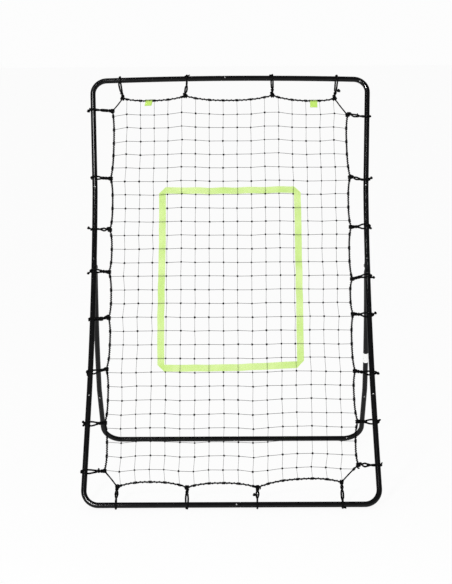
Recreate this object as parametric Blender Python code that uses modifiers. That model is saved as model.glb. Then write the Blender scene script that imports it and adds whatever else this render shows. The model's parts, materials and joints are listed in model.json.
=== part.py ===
"""Soccer rebound net: a net laced into a leaning tube frame, with a rear stand that folds flat.

Metres, +Z up. The front faces -Y. The origin is on the floor, under the middle of the object.
The front frame is drawn in its own leaning plane: X across, Y up the slope from the bottom
tube, Z out of the front. The rear stand has a plane of its own: X across, Y up the legs from
the rear bottom tube, Z out of the stand's front.
"""
import math

import bmesh
import bpy
from mathutils import Matrix, Vector

OBJECT_NAME = "soccer_rebound_net"

# Clearance between two pieces that touch
GAP = 0.0003

# Steel tube of both frames
TUBE_R = 0.0095
TUBE_WALL = 0.0012
TUBE_SIDES = 12
BEND_STEPS = 5
INSERT_LENGTH = 0.050
SHOULDER_LENGTH = 0.0017

# Front frame
LEAN = math.radians(25.5)
FRAME_HALF_WIDTH = 0.500
FRAME_LENGTH = 1.550
TOP_CROWN = 0.0085
FRONT_BEND = 0.050
LOWER_LEG = 0.388
UPPER_LEG = 0.4285
LOWER_DRAW_IN = 0.0132
UPPER_DRAW_IN = 0.0173
SIDE_BOW = 0.0042
BOTTOM_SEAM_X = 0.0287
TOP_SEAM_X = -0.0287

# Rear stand
STAND_DEPTH = 0.831
STAND_HALF_WIDTH = 0.501
REAR_BEND = 0.070
STAND_CORNER_LEG = 0.270
STAND_FLARE = 0.0027
LEG_BOW = 0.002
REAR_SEAM_X = 0.0188
LABEL_START = 0.4120
LABEL_LENGTH = 0.045
LABEL_THICKNESS = 0.0004

# Fold hinge
HINGE_HEIGHT = 0.845
HINGE_SETBACK = 0.028
SWING_CLEARANCE = 0.0009
SHANK_R = 0.003
BOLT_HEAD_R = 0.0055
BOLT_HEAD_HEIGHT = 0.003
BRACKET_STEEL = 0.0015
BRACKET_OVERLAP = 0.009
BRACKET_TOP = 0.008
FLAT_WIDTH = 0.012
FLAT_DEPTH = 0.023
NUT_ACROSS_FLATS = 0.010
NUT_HEIGHT = 0.005
PIVOT_HEAD_R = 0.005
PIVOT_HEAD_HEIGHT = 0.002
THREAD_END = 0.0015
FLAT_RUN = 0.004
FLAT_HALFWAY = 0.011
ROUND_START = 0.021

# Snap buttons
BUTTON_R = 0.0035
BUTTON_PROUD = 0.0025
BUTTON_SINK = 0.0001
BUTTON_SETBACK = 0.0115
STAND_BUTTON_SETBACK = 0.034
CLIP_THICKNESS = 0.0007
CLIP_LENGTH = 0.024
CLIP_TAIL = 0.006

# Border rope: along a side, each lashing's place on the tube and on the rope as shares of the
# side, and how far in from the tube's middle the rope lies there
ROPE_R = 0.0025
LEFT_LASHINGS = (
    (0.0735, 0.0748, 0.066), (0.1794, 0.1813, 0.059), (0.2974, 0.3026, 0.055), (0.4181, 0.4200, 0.056),
    (0.5290, 0.5277, 0.053), (0.6290, 0.6277, 0.054), (0.7535, 0.7523, 0.057), (0.9226, 0.9194, 0.069),
)
RIGHT_LASHINGS = (
    (0.0852, 0.0858, 0.066), (0.1813, 0.1819, 0.059), (0.2942, 0.2955, 0.058), (0.4245, 0.4265, 0.056),
    (0.5110, 0.5084, 0.055), (0.6329, 0.6316, 0.055), (0.7484, 0.7523, 0.057), (0.9039, 0.9058, 0.070),
)
TOP_LASHINGS = ((-0.798, -0.780, 0.071), (-0.314, -0.324, 0.067), (0.306, 0.308, 0.067), (0.772, 0.758, 0.077))
BOTTOM_LASHINGS = ((-0.778, -0.772, 0.062), (-0.300, -0.300, 0.059), (0.174, 0.176, 0.058), (0.748, 0.744, 0.075))
SIDE_SCALLOP = 0.007
TOP_SCALLOP = 0.017
BOTTOM_SCALLOP = 0.017
ROPE_STEPS = 2

# Lashings
CORD_R = 0.0016
STRAND_SPREAD = 0.003
KNOT_SWELL = 1.8
TAIL_LENGTH = 0.009
FLOOR_FLAT = 0.1
BOTTOM_KNOT_TURN = math.radians(50.0)

# Net
NET_COLUMNS = 11
NET_ROWS = 19
BAR = 0.0024
NET_SAG = 0.012

# Target band and tabs
TARGET_WIDTH = 0.509
TARGET_HEIGHT = 0.675
TARGET_RISE = 0.022
BAND_WIDTH = 0.026
BAND_THICKNESS = 0.0008
TAB_WIDTH = 0.029
TAB_DROP = 0.019
TAB_THICKNESS = 0.0006
LEFT_TAB_SHARE = -0.595
RIGHT_TAB_SHARE = 0.608

# Worked out from the sizes above
INSERT_R = TUBE_R - TUBE_WALL - GAP
INSERT_BORE_R = INSERT_R - TUBE_WALL
HOLE_R = BUTTON_R + GAP
# The clip fits the bore, and its back leg still clears the far wall with the button pressed in
BUTTON_TRAVEL = BUTTON_PROUD + TUBE_WALL + BUTTON_SINK
CLIP_TOP = math.sqrt((INSERT_BORE_R * math.cos(math.pi / TUBE_SIDES) - GAP) ** 2 - BUTTON_R ** 2)
CLIP_BACK = BUTTON_TRAVEL - CLIP_TOP
SHANK_HOLE_R = SHANK_R + GAP
LOWER_SEAM = LOWER_LEG
UPPER_SEAM = FRAME_LENGTH - UPPER_LEG
WRAP_R = TUBE_R + GAP + CORD_R
ROPE_WRAP_R = ROPE_R + GAP + CORD_R
WRAP_STEP = math.pi / 4.0
ROPE_WRAP_STEP = math.pi / 3.0
FLAP_OFFSET = ROPE_R + GAP


def wrap_vertex_radius(clear_radius, step):
    """Radius of a bent cord's corner points, so that its straight runs stay clear_radius away."""
    return clear_radius / math.cos(step / 2.0)


# The front tube stands on the lashings under it, and these are cut flat on the floor
WRAP_DEPTH = wrap_vertex_radius(WRAP_R, WRAP_STEP) * math.cos(WRAP_STEP - LEAN) + CORD_R
FRONT_TUBE_HEIGHT = WRAP_DEPTH - 2.0 * CORD_R * FLOOR_FLAT


def side_half_width(along):
    """Distance from the middle to a side tube's axis, at a place along the front frame."""
    if along < LOWER_SEAM:
        return FRAME_HALF_WIDTH - LOWER_DRAW_IN * along / LOWER_SEAM
    if along > UPPER_SEAM:
        return FRAME_HALF_WIDTH - UPPER_DRAW_IN * (FRAME_LENGTH - along) / UPPER_LEG
    share = (along - LOWER_SEAM) / (UPPER_SEAM - LOWER_SEAM)
    lower = FRAME_HALF_WIDTH - LOWER_DRAW_IN
    upper = FRAME_HALF_WIDTH - UPPER_DRAW_IN
    return lower + (upper - lower) * share - 4.0 * SIDE_BOW * share * (1.0 - share)


def top_height(across):
    """Height of the top tube's axis up the slope, at a place across the frame."""
    return FRAME_LENGTH - TOP_CROWN * (across / FRAME_HALF_WIDTH) ** 2


# The pivot and the stand's plane, as seen from the side
PIVOT_Y = HINGE_HEIGHT * math.sin(LEAN) + HINGE_SETBACK * math.cos(LEAN)
PIVOT_Z = FRONT_TUBE_HEIGHT + HINGE_HEIGHT * math.cos(LEAN) - HINGE_SETBACK * math.sin(LEAN)
LEG_LENGTH = math.hypot(STAND_DEPTH - PIVOT_Y, PIVOT_Z - TUBE_R)
STAND_LEAN = math.atan2(STAND_DEPTH - PIVOT_Y, PIVOT_Z - TUBE_R)
APEX_ANGLE = LEAN + STAND_LEAN
WEB_FRONT = TUBE_R + GAP
WEB_BACK = WEB_FRONT + BRACKET_STEEL
EAR_INNER = FLAT_WIDTH / 2.0 + GAP
EAR_OUTER = EAR_INNER + BRACKET_STEEL
NUT_FRONT = WEB_BACK + GAP
NUT_BACK = NUT_FRONT + NUT_HEIGHT
NUT_CORNER_R = NUT_ACROSS_FLATS / 2.0 / math.cos(math.pi / 6.0)
# Open, the leg's flat end stops on the web; folding, its corner swings clear of the nut
FLAT_END = (HINGE_SETBACK - NUT_FRONT - FLAT_DEPTH / 2.0 * math.cos(APEX_ANGLE)) / math.sin(APEX_ANGLE)
SWING_R = math.hypot(FLAT_END, FLAT_DEPTH / 2.0) + SWING_CLEARANCE
BOLT_RISE = NUT_CORNER_R + math.sqrt(max(SWING_R ** 2 - (HINGE_SETBACK - NUT_BACK) ** 2, 0.0))
FLAT_TRANSITION = tuple(BRACKET_OVERLAP + run for run in (FLAT_RUN, FLAT_HALFWAY, ROUND_START))
PIVOT_HALF_WIDTH = side_half_width(HINGE_HEIGHT)


def leg_half_width(along):
    """Distance from the middle to a rear leg's axis, at a place up the stand.

    Between the bracket's ears the leg runs straight, square to the pivot.
    """
    if along < STAND_CORNER_LEG:
        return STAND_HALF_WIDTH + STAND_FLARE * along / STAND_CORNER_LEG
    start = STAND_HALF_WIDTH + STAND_FLARE
    share = min((along - STAND_CORNER_LEG) / (LEG_LENGTH - FLAT_TRANSITION[0] - STAND_CORNER_LEG), 1.0)
    return start + (PIVOT_HALF_WIDTH - start) * share + 4.0 * LEG_BOW * share * (1.0 - share)


def remove_scene_objects():
    for obj in list(bpy.data.objects):
        bpy.data.objects.remove(obj, do_unlink=True)


def new_collection(name):
    collection = bpy.data.collections.new(name)
    bpy.context.scene.collection.children.link(collection)
    return collection


def finish(name, colour, roughness, metallic=0.0):
    """A plain Principled material."""
    material = bpy.data.materials.new(name)
    material.use_nodes = True
    shader = material.node_tree.nodes["Principled BSDF"]
    shader.inputs["Base Color"].default_value = (*colour, 1.0)
    shader.inputs["Roughness"].default_value = roughness
    shader.inputs["Metallic"].default_value = metallic
    material.diffuse_color = (*colour, 1.0)
    return material


def add_object(name, mesh, parent, material, smooth_angle=math.radians(40.0)):
    """Put a mesh in the parts collection as one named node."""
    obj = bpy.data.objects.new(name, mesh)
    parts.objects.link(obj)
    obj.parent = parent
    if material is not None and not mesh.materials:
        mesh.materials.append(material)
    mesh.shade_smooth()
    mesh.set_sharp_from_angle(angle=smooth_angle)
    return obj


def add_empty(name, parent, matrix):
    empty = bpy.data.objects.new(name, None)
    parts.objects.link(empty)
    empty.parent = parent
    empty.matrix_local = matrix
    return empty


def mesh_of_curve(curve_data):
    """Turn curve data into a welded mesh."""
    curve_object = bpy.data.objects.new(curve_data.name, curve_data)
    bpy.context.scene.collection.objects.link(curve_object)
    bpy.context.view_layer.update()
    depsgraph = bpy.context.evaluated_depsgraph_get()
    mesh = bpy.data.meshes.new_from_object(curve_object.evaluated_get(depsgraph))
    bpy.data.objects.remove(curve_object, do_unlink=True)
    body = bmesh.new()
    body.from_mesh(mesh)
    bmesh.ops.remove_doubles(body, verts=body.verts, dist=0.000001)
    body.to_mesh(mesh)
    body.free()
    return mesh


def swept_mesh(name, points, radii, sides, closed=False, capped=False, flat_plane=True):
    """Sweep a round section along points; radii gives its radius at each point."""
    curve = bpy.data.curves.new(name, "CURVE")
    curve.dimensions = "3D"
    curve.twist_mode = "Z_UP" if flat_plane else "MINIMUM"
    curve.bevel_depth = 1.0
    curve.bevel_resolution = (sides - 4) // 2
    curve.use_fill_caps = capped
    spline = curve.splines.new("POLY")
    spline.points.add(len(points) - 1)
    for point, place, radius in zip(spline.points, points, radii):
        point.co = (*place, 1.0) if len(place) == 3 else (place[0], place[1], 0.0, 1.0)
        point.radius = radius
    spline.use_cyclic_u = closed
    return mesh_of_curve(curve)


def outline_mesh(name, points, half_thickness):
    """A flat outline, drawn in X and Y and thickened both ways along Z."""
    curve = bpy.data.curves.new(name, "CURVE")
    curve.dimensions = "2D"
    curve.fill_mode = "BOTH"
    curve.extrude = half_thickness
    spline = curve.splines.new("POLY")
    spline.points.add(len(points) - 1)
    for point, place in zip(spline.points, points):
        point.co = (place[0], place[1], 0.0, 1.0)
    spline.use_cyclic_u = True
    return mesh_of_curve(curve)


def add_wall(obj, thickness, offset=-1.0):
    wall = obj.modifiers.new("wall", "SOLIDIFY")
    wall.thickness = thickness
    wall.offset = offset
    return wall


def add_turned(name, profile, parent, material, steps=12):
    """Turn a profile of (radius, height) points about Z, listed from the top down."""
    mesh = bpy.data.meshes.new(name)
    body = bmesh.new()
    corners = [body.verts.new((radius, 0.0, height)) for radius, height in profile]
    for upper, lower in zip(corners, corners[1:]):
        body.edges.new((upper, lower))
    body.to_mesh(mesh)
    body.free()
    obj = add_object(name, mesh, parent, material)
    turn = obj.modifiers.new("turn", "SCREW")
    turn.steps = steps
    turn.render_steps = steps
    turn.use_merge_vertices = True
    turn.merge_threshold = 0.00001
    turn.use_smooth_shade = True
    return obj


def add_cutter(name, mesh, parent, matrix):
    """A shape that only cuts others."""
    obj = bpy.data.objects.new(name, mesh)
    cutters.objects.link(obj)
    obj.parent = parent
    obj.matrix_local = matrix
    obj.hide_render = True
    obj.display_type = "WIRE"
    return obj


def cylinder_mesh(name, radius, length, sides=12):
    """A cylinder along Z with its middle at the origin."""
    mesh = bpy.data.meshes.new(name)
    body = bmesh.new()
    bmesh.ops.create_cone(
        body, cap_ends=True, segments=sides, radius1=radius, radius2=radius, depth=length
    )
    body.to_mesh(mesh)
    body.free()
    return mesh


def box_mesh(name, low, high):
    """A box between two corners."""
    mesh = bpy.data.meshes.new(name)
    body = bmesh.new()
    bmesh.ops.create_cube(body, size=1.0)
    middle = (Vector(low) + Vector(high)) / 2.0
    span = Vector(high) - Vector(low)
    bmesh.ops.scale(body, verts=body.verts, vec=span)
    bmesh.ops.translate(body, verts=body.verts, vec=middle)
    body.to_mesh(mesh)
    body.free()
    return mesh


def cut(target, cutter, operation="DIFFERENCE"):
    boolean = target.modifiers.new("cut", "BOOLEAN")
    boolean.operation = operation
    boolean.solver = "EXACT"
    boolean.object = cutter


def rounded_corner(start, corner, end, radius, steps):
    """Arc points that replace the corner between two straight runs."""
    start, corner, end = Vector(start), Vector(corner), Vector(end)
    to_start = (start - corner).normalized()
    to_end = (end - corner).normalized()
    half_angle = to_start.angle(to_end) / 2.0
    bisector = (to_start + to_end).normalized()
    centre = corner + bisector * (radius / math.sin(half_angle))
    first = corner + to_start * (radius / math.tan(half_angle)) - centre
    turn = math.pi - 2.0 * half_angle
    if to_start.cross(to_end) > 0.0:
        turn = -turn
    return [centre + Matrix.Rotation(turn * step / steps, 2) @ first for step in range(steps + 1)]


def frame_tube(name, points, parent, male_start=False, male_end=False):
    """One tube section along flat points; a male end carries its reduced insert.

    At a male end the last two points given are the mouth of the tube that the insert enters
    and a point further along the insert.
    """
    path = [Vector(point) for point in points]
    radii = [TUBE_R] * len(path)
    if male_end:
        path, radii = with_insert(path, radii)
    if male_start:
        path, radii = with_insert(path[::-1], radii[::-1])
        path, radii = path[::-1], radii[::-1]
    mesh = swept_mesh(name, path, radii, TUBE_SIDES)
    obj = add_object(name, mesh, parent, black_steel)
    add_wall(obj, TUBE_WALL)
    return obj


def with_insert(path, radii):
    """Swap the last two points, mouth and insert tip, for a shoulder and the insert."""
    mouth, tip = path[-2], path[-1]
    along = (tip - mouth).normalized()
    inward = (path[-3] - mouth).normalized()
    body_end = mouth + inward * (SHOULDER_LENGTH + GAP)
    insert_start = mouth + inward * GAP
    insert_tip = mouth + along * INSERT_LENGTH
    new_path = path[:-2] + [body_end, insert_start, insert_tip]
    new_radii = radii[:-2] + [TUBE_R, INSERT_R, INSERT_R]
    return new_path, new_radii


def mirrored(points):
    return [(-x, y) for x, y in points]


def build_front_frame(plane):
    """Four corner tubes and two side tubes in the leaning plane."""
    half = FRAME_HALF_WIDTH
    bottom_corner = (half, 0.0)
    lower_joint = (side_half_width(LOWER_SEAM), LOWER_SEAM)
    top_corner = (half, top_height(half))
    upper_joint = (side_half_width(UPPER_SEAM), UPPER_SEAM)
    crown = [(share * half, top_height(share * half)) for share in (0.25, 0.5, 0.75)]
    bottom_bend = rounded_corner((0.0, 0.0), bottom_corner, lower_joint, FRONT_BEND, BEND_STEPS)
    top_bend = rounded_corner(crown[-1], top_corner, upper_joint, FRONT_BEND, BEND_STEPS)
    bend_up = [tuple(point) for point in bottom_bend]
    bend_down = [tuple(point) for point in top_bend]

    def top_point(across):
        return (across, top_height(across))

    tip = INSERT_LENGTH
    frame_tube("bottom_left_corner_tube", [(BOTTOM_SEAM_X, 0.0), *mirrored(bend_up), *mirrored([lower_joint])], plane)
    frame_tube(
        "bottom_right_corner_tube",
        [(BOTTOM_SEAM_X - tip, 0.0), (BOTTOM_SEAM_X, 0.0), *bend_up, lower_joint], plane, male_start=True,
    )
    frame_tube(
        "top_right_corner_tube",
        [top_point(TOP_SEAM_X), top_point(0.0), *crown, *bend_down, upper_joint], plane,
    )
    frame_tube(
        "top_left_corner_tube",
        [top_point(TOP_SEAM_X + tip), top_point(TOP_SEAM_X), *mirrored(crown), *mirrored(bend_down),
         *mirrored([upper_joint])], plane, male_start=True,
    )
    lower_way = Vector((side_half_width(0.0) - lower_joint[0], -LOWER_SEAM)).normalized()
    upper_way = Vector((half - upper_joint[0], UPPER_LEG)).normalized()
    lower_tip = tuple(Vector(lower_joint) + lower_way * tip)
    upper_tip = tuple(Vector(upper_joint) + upper_way * tip)
    run = [LOWER_SEAM + (UPPER_SEAM - LOWER_SEAM) * share for share in (0.25, 0.5, 0.75)]
    side = [lower_tip, lower_joint, *[(side_half_width(s), s) for s in run], upper_joint, upper_tip]
    frame_tube("right_side_tube", side, plane, male_start=True, male_end=True)
    frame_tube("left_side_tube", mirrored(side), plane, male_start=True, male_end=True)
    return lower_way, upper_way


def flatten_leg_top(mesh):
    """Press the top of a leg tube flat, across X, where it runs between the bracket's ears."""
    far, near = FLAT_TRANSITION[-1], FLAT_TRANSITION[0]
    for vertex in mesh.vertices:
        below_pivot = LEG_LENGTH - vertex.co.y
        share = min(max((far - below_pivot) / (far - near), 0.0), 1.0)
        share = share * share * (3.0 - 2.0 * share)
        side = math.copysign(1.0, vertex.co.x)
        middle = side * leg_half_width(vertex.co.y)
        offset = vertex.co.x - middle
        pressed = min(max(offset, -FLAT_WIDTH / 2.0), FLAT_WIDTH / 2.0)
        vertex.co.x = middle + offset + (pressed - offset) * share
        vertex.co.z *= 1.0 + (FLAT_DEPTH / (2.0 * TUBE_R) - 1.0) * share


def build_rear_stand(plane):
    """Two corner tubes and two legs in the stand's plane, and the label round the right leg."""
    corner = (STAND_HALF_WIDTH, 0.0)
    joint = (leg_half_width(STAND_CORNER_LEG), STAND_CORNER_LEG)
    bend = [tuple(p) for p in rounded_corner((0.0, 0.0), corner, joint, REAR_BEND, BEND_STEPS)]
    tip = INSERT_LENGTH
    frame_tube("rear_left_corner_tube", [(REAR_SEAM_X, 0.0), *mirrored(bend), *mirrored([joint])], plane)
    frame_tube(
        "rear_right_corner_tube",
        [(REAR_SEAM_X - tip, 0.0), (REAR_SEAM_X, 0.0), *bend, joint], plane, male_start=True,
    )
    down = Vector((STAND_HALF_WIDTH - joint[0], -STAND_CORNER_LEG)).normalized()
    leg_tip = tuple(Vector(joint) + down * tip)
    flat_start = LEG_LENGTH - FLAT_TRANSITION[-1]
    run = [STAND_CORNER_LEG + (flat_start - STAND_CORNER_LEG) * share for share in (0.25, 0.5, 0.75)]
    run += [LEG_LENGTH - below for below in sorted(FLAT_TRANSITION, reverse=True)]
    run += [LEG_LENGTH, LEG_LENGTH + FLAT_END]
    leg = [leg_tip, joint, *[(leg_half_width(d), d) for d in run]]
    for name, points in (("right_rear_leg_tube", leg), ("left_rear_leg_tube", mirrored(leg))):
        tube = frame_tube(name, points, plane, male_start=True)
        flatten_leg_top(tube.data)
    label_radius = TUBE_R + GAP + LABEL_THICKNESS
    label_places = [LABEL_START, LABEL_START + LABEL_LENGTH]
    label_points = [(leg_half_width(d), d) for d in label_places]
    mesh = swept_mesh("label_band", label_points, [label_radius] * 2, TUBE_SIDES)
    label = add_object("label_band", mesh, plane, white_film)
    add_wall(label, LABEL_THICKNESS)
    return down


def build_clip_mesh():
    """One sprung clip with its button: X towards the insert's tip, Z out through the holes."""
    tip_radius = (CLIP_TOP - CLIP_BACK) / 2.0
    middle = (CLIP_TOP + CLIP_BACK) / 2.0
    outer_turn = []
    inner_turn = []
    for step in range(5):
        angle = math.pi / 2.0 - math.pi * step / 4.0
        outer_turn.append((CLIP_LENGTH + tip_radius * math.cos(angle), middle + tip_radius * math.sin(angle)))
        inner = tip_radius - CLIP_THICKNESS
        inner_turn.append((CLIP_LENGTH + inner * math.cos(angle), middle + inner * math.sin(angle)))
    outline = [(-CLIP_TAIL, CLIP_TOP), *outer_turn, (BUTTON_R, CLIP_BACK)]
    outline += [(BUTTON_R, CLIP_BACK + CLIP_THICKNESS), *inner_turn[::-1], (-CLIP_TAIL, CLIP_TOP - CLIP_THICKNESS)]
    clip = outline_mesh("snap_button", outline, BUTTON_R)
    clip.transform(Matrix.Rotation(math.pi / 2.0, 4, "X"))
    return clip


def add_snap_button(name, mesh, parent, place, way):
    """One clip inside an insert at place, its strip running along way."""
    angle = math.atan2(way[1], way[0])
    matrix = Matrix.Translation((place[0], place[1], 0.0)) @ Matrix.Rotation(angle, 4, "Z")
    button = add_object(name, mesh, parent, bright_steel)
    button.matrix_local = matrix
    return button


def build_snap_buttons(front, stand, front_ways, stand_way):
    """Nine clips, and the holes for their buttons through insert and tube."""
    lower_way, upper_way = front_ways
    mesh = build_clip_mesh()
    nib_rise = TUBE_R + BUTTON_PROUD
    nib_foot = CLIP_TOP - CLIP_THICKNESS / 2.0
    nib_profile = [
        (0.0, nib_rise), (BUTTON_R * 0.6, nib_rise - 0.0003), (BUTTON_R * 0.92, nib_rise - 0.0012),
        (BUTTON_R, nib_rise - BUTTON_PROUD), (BUTTON_R, nib_foot), (0.0, nib_foot),
    ]
    nib = add_turned("nib", nib_profile, None, bright_steel, steps=12)
    bpy.context.view_layer.update()
    nib_mesh = bpy.data.meshes.new_from_object(nib.evaluated_get(bpy.context.evaluated_depsgraph_get()))
    bpy.data.objects.remove(nib, do_unlink=True)
    nib_cutter = add_cutter("nib_shape", nib_mesh, None, Matrix.Identity(4))
    blank = add_object("blank", mesh, None, bright_steel)
    cut(blank, nib_cutter, "UNION")
    bpy.context.view_layer.update()
    clip_mesh = bpy.data.meshes.new_from_object(blank.evaluated_get(bpy.context.evaluated_depsgraph_get()))
    bpy.data.objects.remove(blank, do_unlink=True)
    bpy.data.objects.remove(nib_cutter, do_unlink=True)
    lower_joint = Vector((side_half_width(LOWER_SEAM), LOWER_SEAM))
    upper_joint = Vector((side_half_width(UPPER_SEAM), UPPER_SEAM))
    stand_joint = Vector((leg_half_width(STAND_CORNER_LEG), STAND_CORNER_LEG))
    places = {}
    for side, sign in (("left", -1.0), ("right", 1.0)):
        flip = Vector((sign, 1.0))
        places[f"{side}_lower_snap_button"] = (
            front, (lower_joint + lower_way * BUTTON_SETBACK) * flip, lower_way * flip,
            (f"{side}_side_tube", f"bottom_{side}_corner_tube"),
        )
        places[f"{side}_upper_snap_button"] = (
            front, (upper_joint + upper_way * BUTTON_SETBACK) * flip, upper_way * flip,
            (f"{side}_side_tube", f"top_{side}_corner_tube"),
        )
        places[f"{side}_stand_snap_button"] = (
            stand, (stand_joint + stand_way * STAND_BUTTON_SETBACK) * flip, stand_way * flip,
            (f"{side}_rear_leg_tube", f"rear_{side}_corner_tube"),
        )
    leftwards, rightwards = Vector((-1.0, 0.0)), Vector((1.0, 0.0))
    places["bottom_snap_button"] = (
        front, Vector((BOTTOM_SEAM_X - BUTTON_SETBACK, 0.0)), leftwards,
        ("bottom_left_corner_tube", "bottom_right_corner_tube"),
    )
    top_x = TOP_SEAM_X + BUTTON_SETBACK
    places["top_snap_button"] = (
        front, Vector((top_x, top_height(top_x))), rightwards,
        ("top_left_corner_tube", "top_right_corner_tube"),
    )
    places["rear_snap_button"] = (
        stand, Vector((REAR_SEAM_X - BUTTON_SETBACK, 0.0)), leftwards,
        ("rear_left_corner_tube", "rear_right_corner_tube"),
    )
    hole = cylinder_mesh("button_hole", HOLE_R, 2.0 * TUBE_R)
    for name, (parent, place, way, tubes) in places.items():
        add_snap_button(name, clip_mesh, parent, place, way)
        cutter = add_cutter(f"{name}_hole", hole, parent, Matrix.Translation((place.x, place.y, TUBE_R)))
        for tube in tubes:
            cut(parts.objects[tube], cutter)


def build_hinge(side, sign, front):
    """Bracket, its bolt and nut, and the pivot bolt and nut at one side."""
    pivot_across = sign * PIVOT_HALF_WIDTH
    # Side view of the bracket: X is how far behind the tube's middle, Y is up the slope
    reach = HINGE_SETBACK
    low = -BRACKET_OVERLAP
    outline = [(WEB_FRONT, low), (reach, low)]
    for step in range(1, 7):
        angle = -math.pi / 2.0 + math.pi * step / 6.0
        outline.append((reach + BRACKET_OVERLAP * math.cos(angle), BRACKET_OVERLAP * math.sin(angle)))
    outline += [(WEB_BACK + BRACKET_TOP, BOLT_RISE + BRACKET_TOP), (WEB_FRONT, BOLT_RISE + BRACKET_TOP)]
    mesh = outline_mesh(f"{side}_fold_bracket", outline, EAR_OUTER)
    # Outline X runs backwards (-Z of the plane) and outline Y up the slope
    mesh.transform(Matrix(((0.0, 0.0, 1.0, 0.0), (0.0, 1.0, 0.0, 0.0), (-1.0, 0.0, 0.0, 0.0), (0.0, 0.0, 0.0, 1.0))))
    bracket = add_object(f"{side}_fold_bracket", mesh, front, black_steel)
    bracket.location = (pivot_across, HINGE_HEIGHT, 0.0)
    margin = 0.01
    channel_low = (-EAR_INNER, low - margin, -reach - BRACKET_OVERLAP - margin)
    channel_high = (EAR_INNER, BOLT_RISE + BRACKET_TOP + margin, -WEB_BACK)
    channel = box_mesh(f"{side}_channel", channel_low, channel_high)
    cut(bracket, add_cutter(f"{side}_channel", channel, front, Matrix.Translation(bracket.location)))

    bolt_place = Matrix.Translation((pivot_across, HINGE_HEIGHT + BOLT_RISE, 0.0))
    hole_length = 2.0 * (WEB_BACK + margin)
    bolt_hole = add_cutter(
        f"{side}_bolt_hole", cylinder_mesh("bolt_hole", SHANK_HOLE_R, hole_length), front, bolt_place
    )
    cut(bracket, bolt_hole)
    cut(parts.objects[f"{side}_side_tube"], bolt_hole)
    head_seat = TUBE_R + GAP
    thread_tip = NUT_BACK + THREAD_END
    head_top = head_seat + BOLT_HEAD_HEIGHT
    bolt = add_turned(
        f"{side}_bracket_bolt",
        [(0.0, head_top), (BOLT_HEAD_R * 0.6, head_top - 0.0004), (BOLT_HEAD_R, head_seat + 0.0012),
         (BOLT_HEAD_R, head_seat), (SHANK_R, head_seat), (SHANK_R, -thread_tip), (0.0, -thread_tip)],
        front, bright_steel,
    )
    bolt.location = bolt_place.to_translation()
    add_nut(f"{side}_bracket_nut", NUT_HEIGHT, front,
            bolt_place @ Matrix.Translation((0.0, 0.0, -(NUT_FRONT + NUT_HEIGHT / 2.0))))

    # The pivot bolt's head is on the outer side and its nut on the inner side
    outwards = Matrix.Rotation(sign * math.pi / 2.0, 4, "Y")
    pivot_place = Matrix.Translation((pivot_across, HINGE_HEIGHT, -HINGE_SETBACK)) @ outwards
    seat = EAR_OUTER + GAP
    pivot_end = seat + PIVOT_HEAD_HEIGHT
    pivot = add_turned(
        f"{side}_pivot_bolt",
        [(0.0, pivot_end), (PIVOT_HEAD_R * 0.8, pivot_end), (PIVOT_HEAD_R, pivot_end - 0.0006),
         (PIVOT_HEAD_R, seat), (SHANK_R, seat), (SHANK_R, -pivot_end), (0.0, -pivot_end)],
        front, bright_steel,
    )
    pivot.matrix_local = pivot_place
    add_nut(f"{side}_pivot_nut", PIVOT_HEAD_HEIGHT, front,
            pivot_place @ Matrix.Translation((0.0, 0.0, -(seat + PIVOT_HEAD_HEIGHT / 2.0))))
    pivot_hole = add_cutter(
        f"{side}_pivot_hole", cylinder_mesh("pivot_hole", SHANK_HOLE_R, 4.0 * EAR_OUTER), front, pivot_place
    )
    cut(bracket, pivot_hole)
    cut(parts.objects[f"{side}_rear_leg_tube"], pivot_hole)


def add_nut(name, height, parent, matrix):
    """A hexagon nut with its bore along Z."""
    nut = add_object(name, cylinder_mesh(name, NUT_CORNER_R, height, sides=6), parent, bright_steel)
    nut.matrix_local = matrix
    bore = cylinder_mesh(f"{name}_bore", SHANK_HOLE_R, 2.0 * height)
    cut(nut, add_cutter(f"{name}_bore", bore, parent, matrix))
    return nut


class Lashing:
    """Where one lashing goes round the tube and round the rope, in the front plane."""

    def __init__(self, name, tube_place, rope_place, inward, knot_turn, tail_way):
        self.name = name
        self.tube_place = Vector(tube_place)
        self.rope_place = Vector(rope_place)
        self.inward = Vector(inward)
        self.knot_turn = knot_turn
        self.tail_way = tail_way
        self.rope_way = None


def clear_of_bracket(along):
    """Move a lashing's place on a side tube off the fold bracket, if it lies there."""
    reach = STRAND_SPREAD + KNOT_SWELL * 2.0 * CORD_R + TAIL_LENGTH
    low = HINGE_HEIGHT - BRACKET_OVERLAP - reach
    high = HINGE_HEIGHT + BOLT_RISE + BRACKET_TOP + reach
    if not low < along < high:
        return along
    return low if along - low < high - along else high


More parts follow.
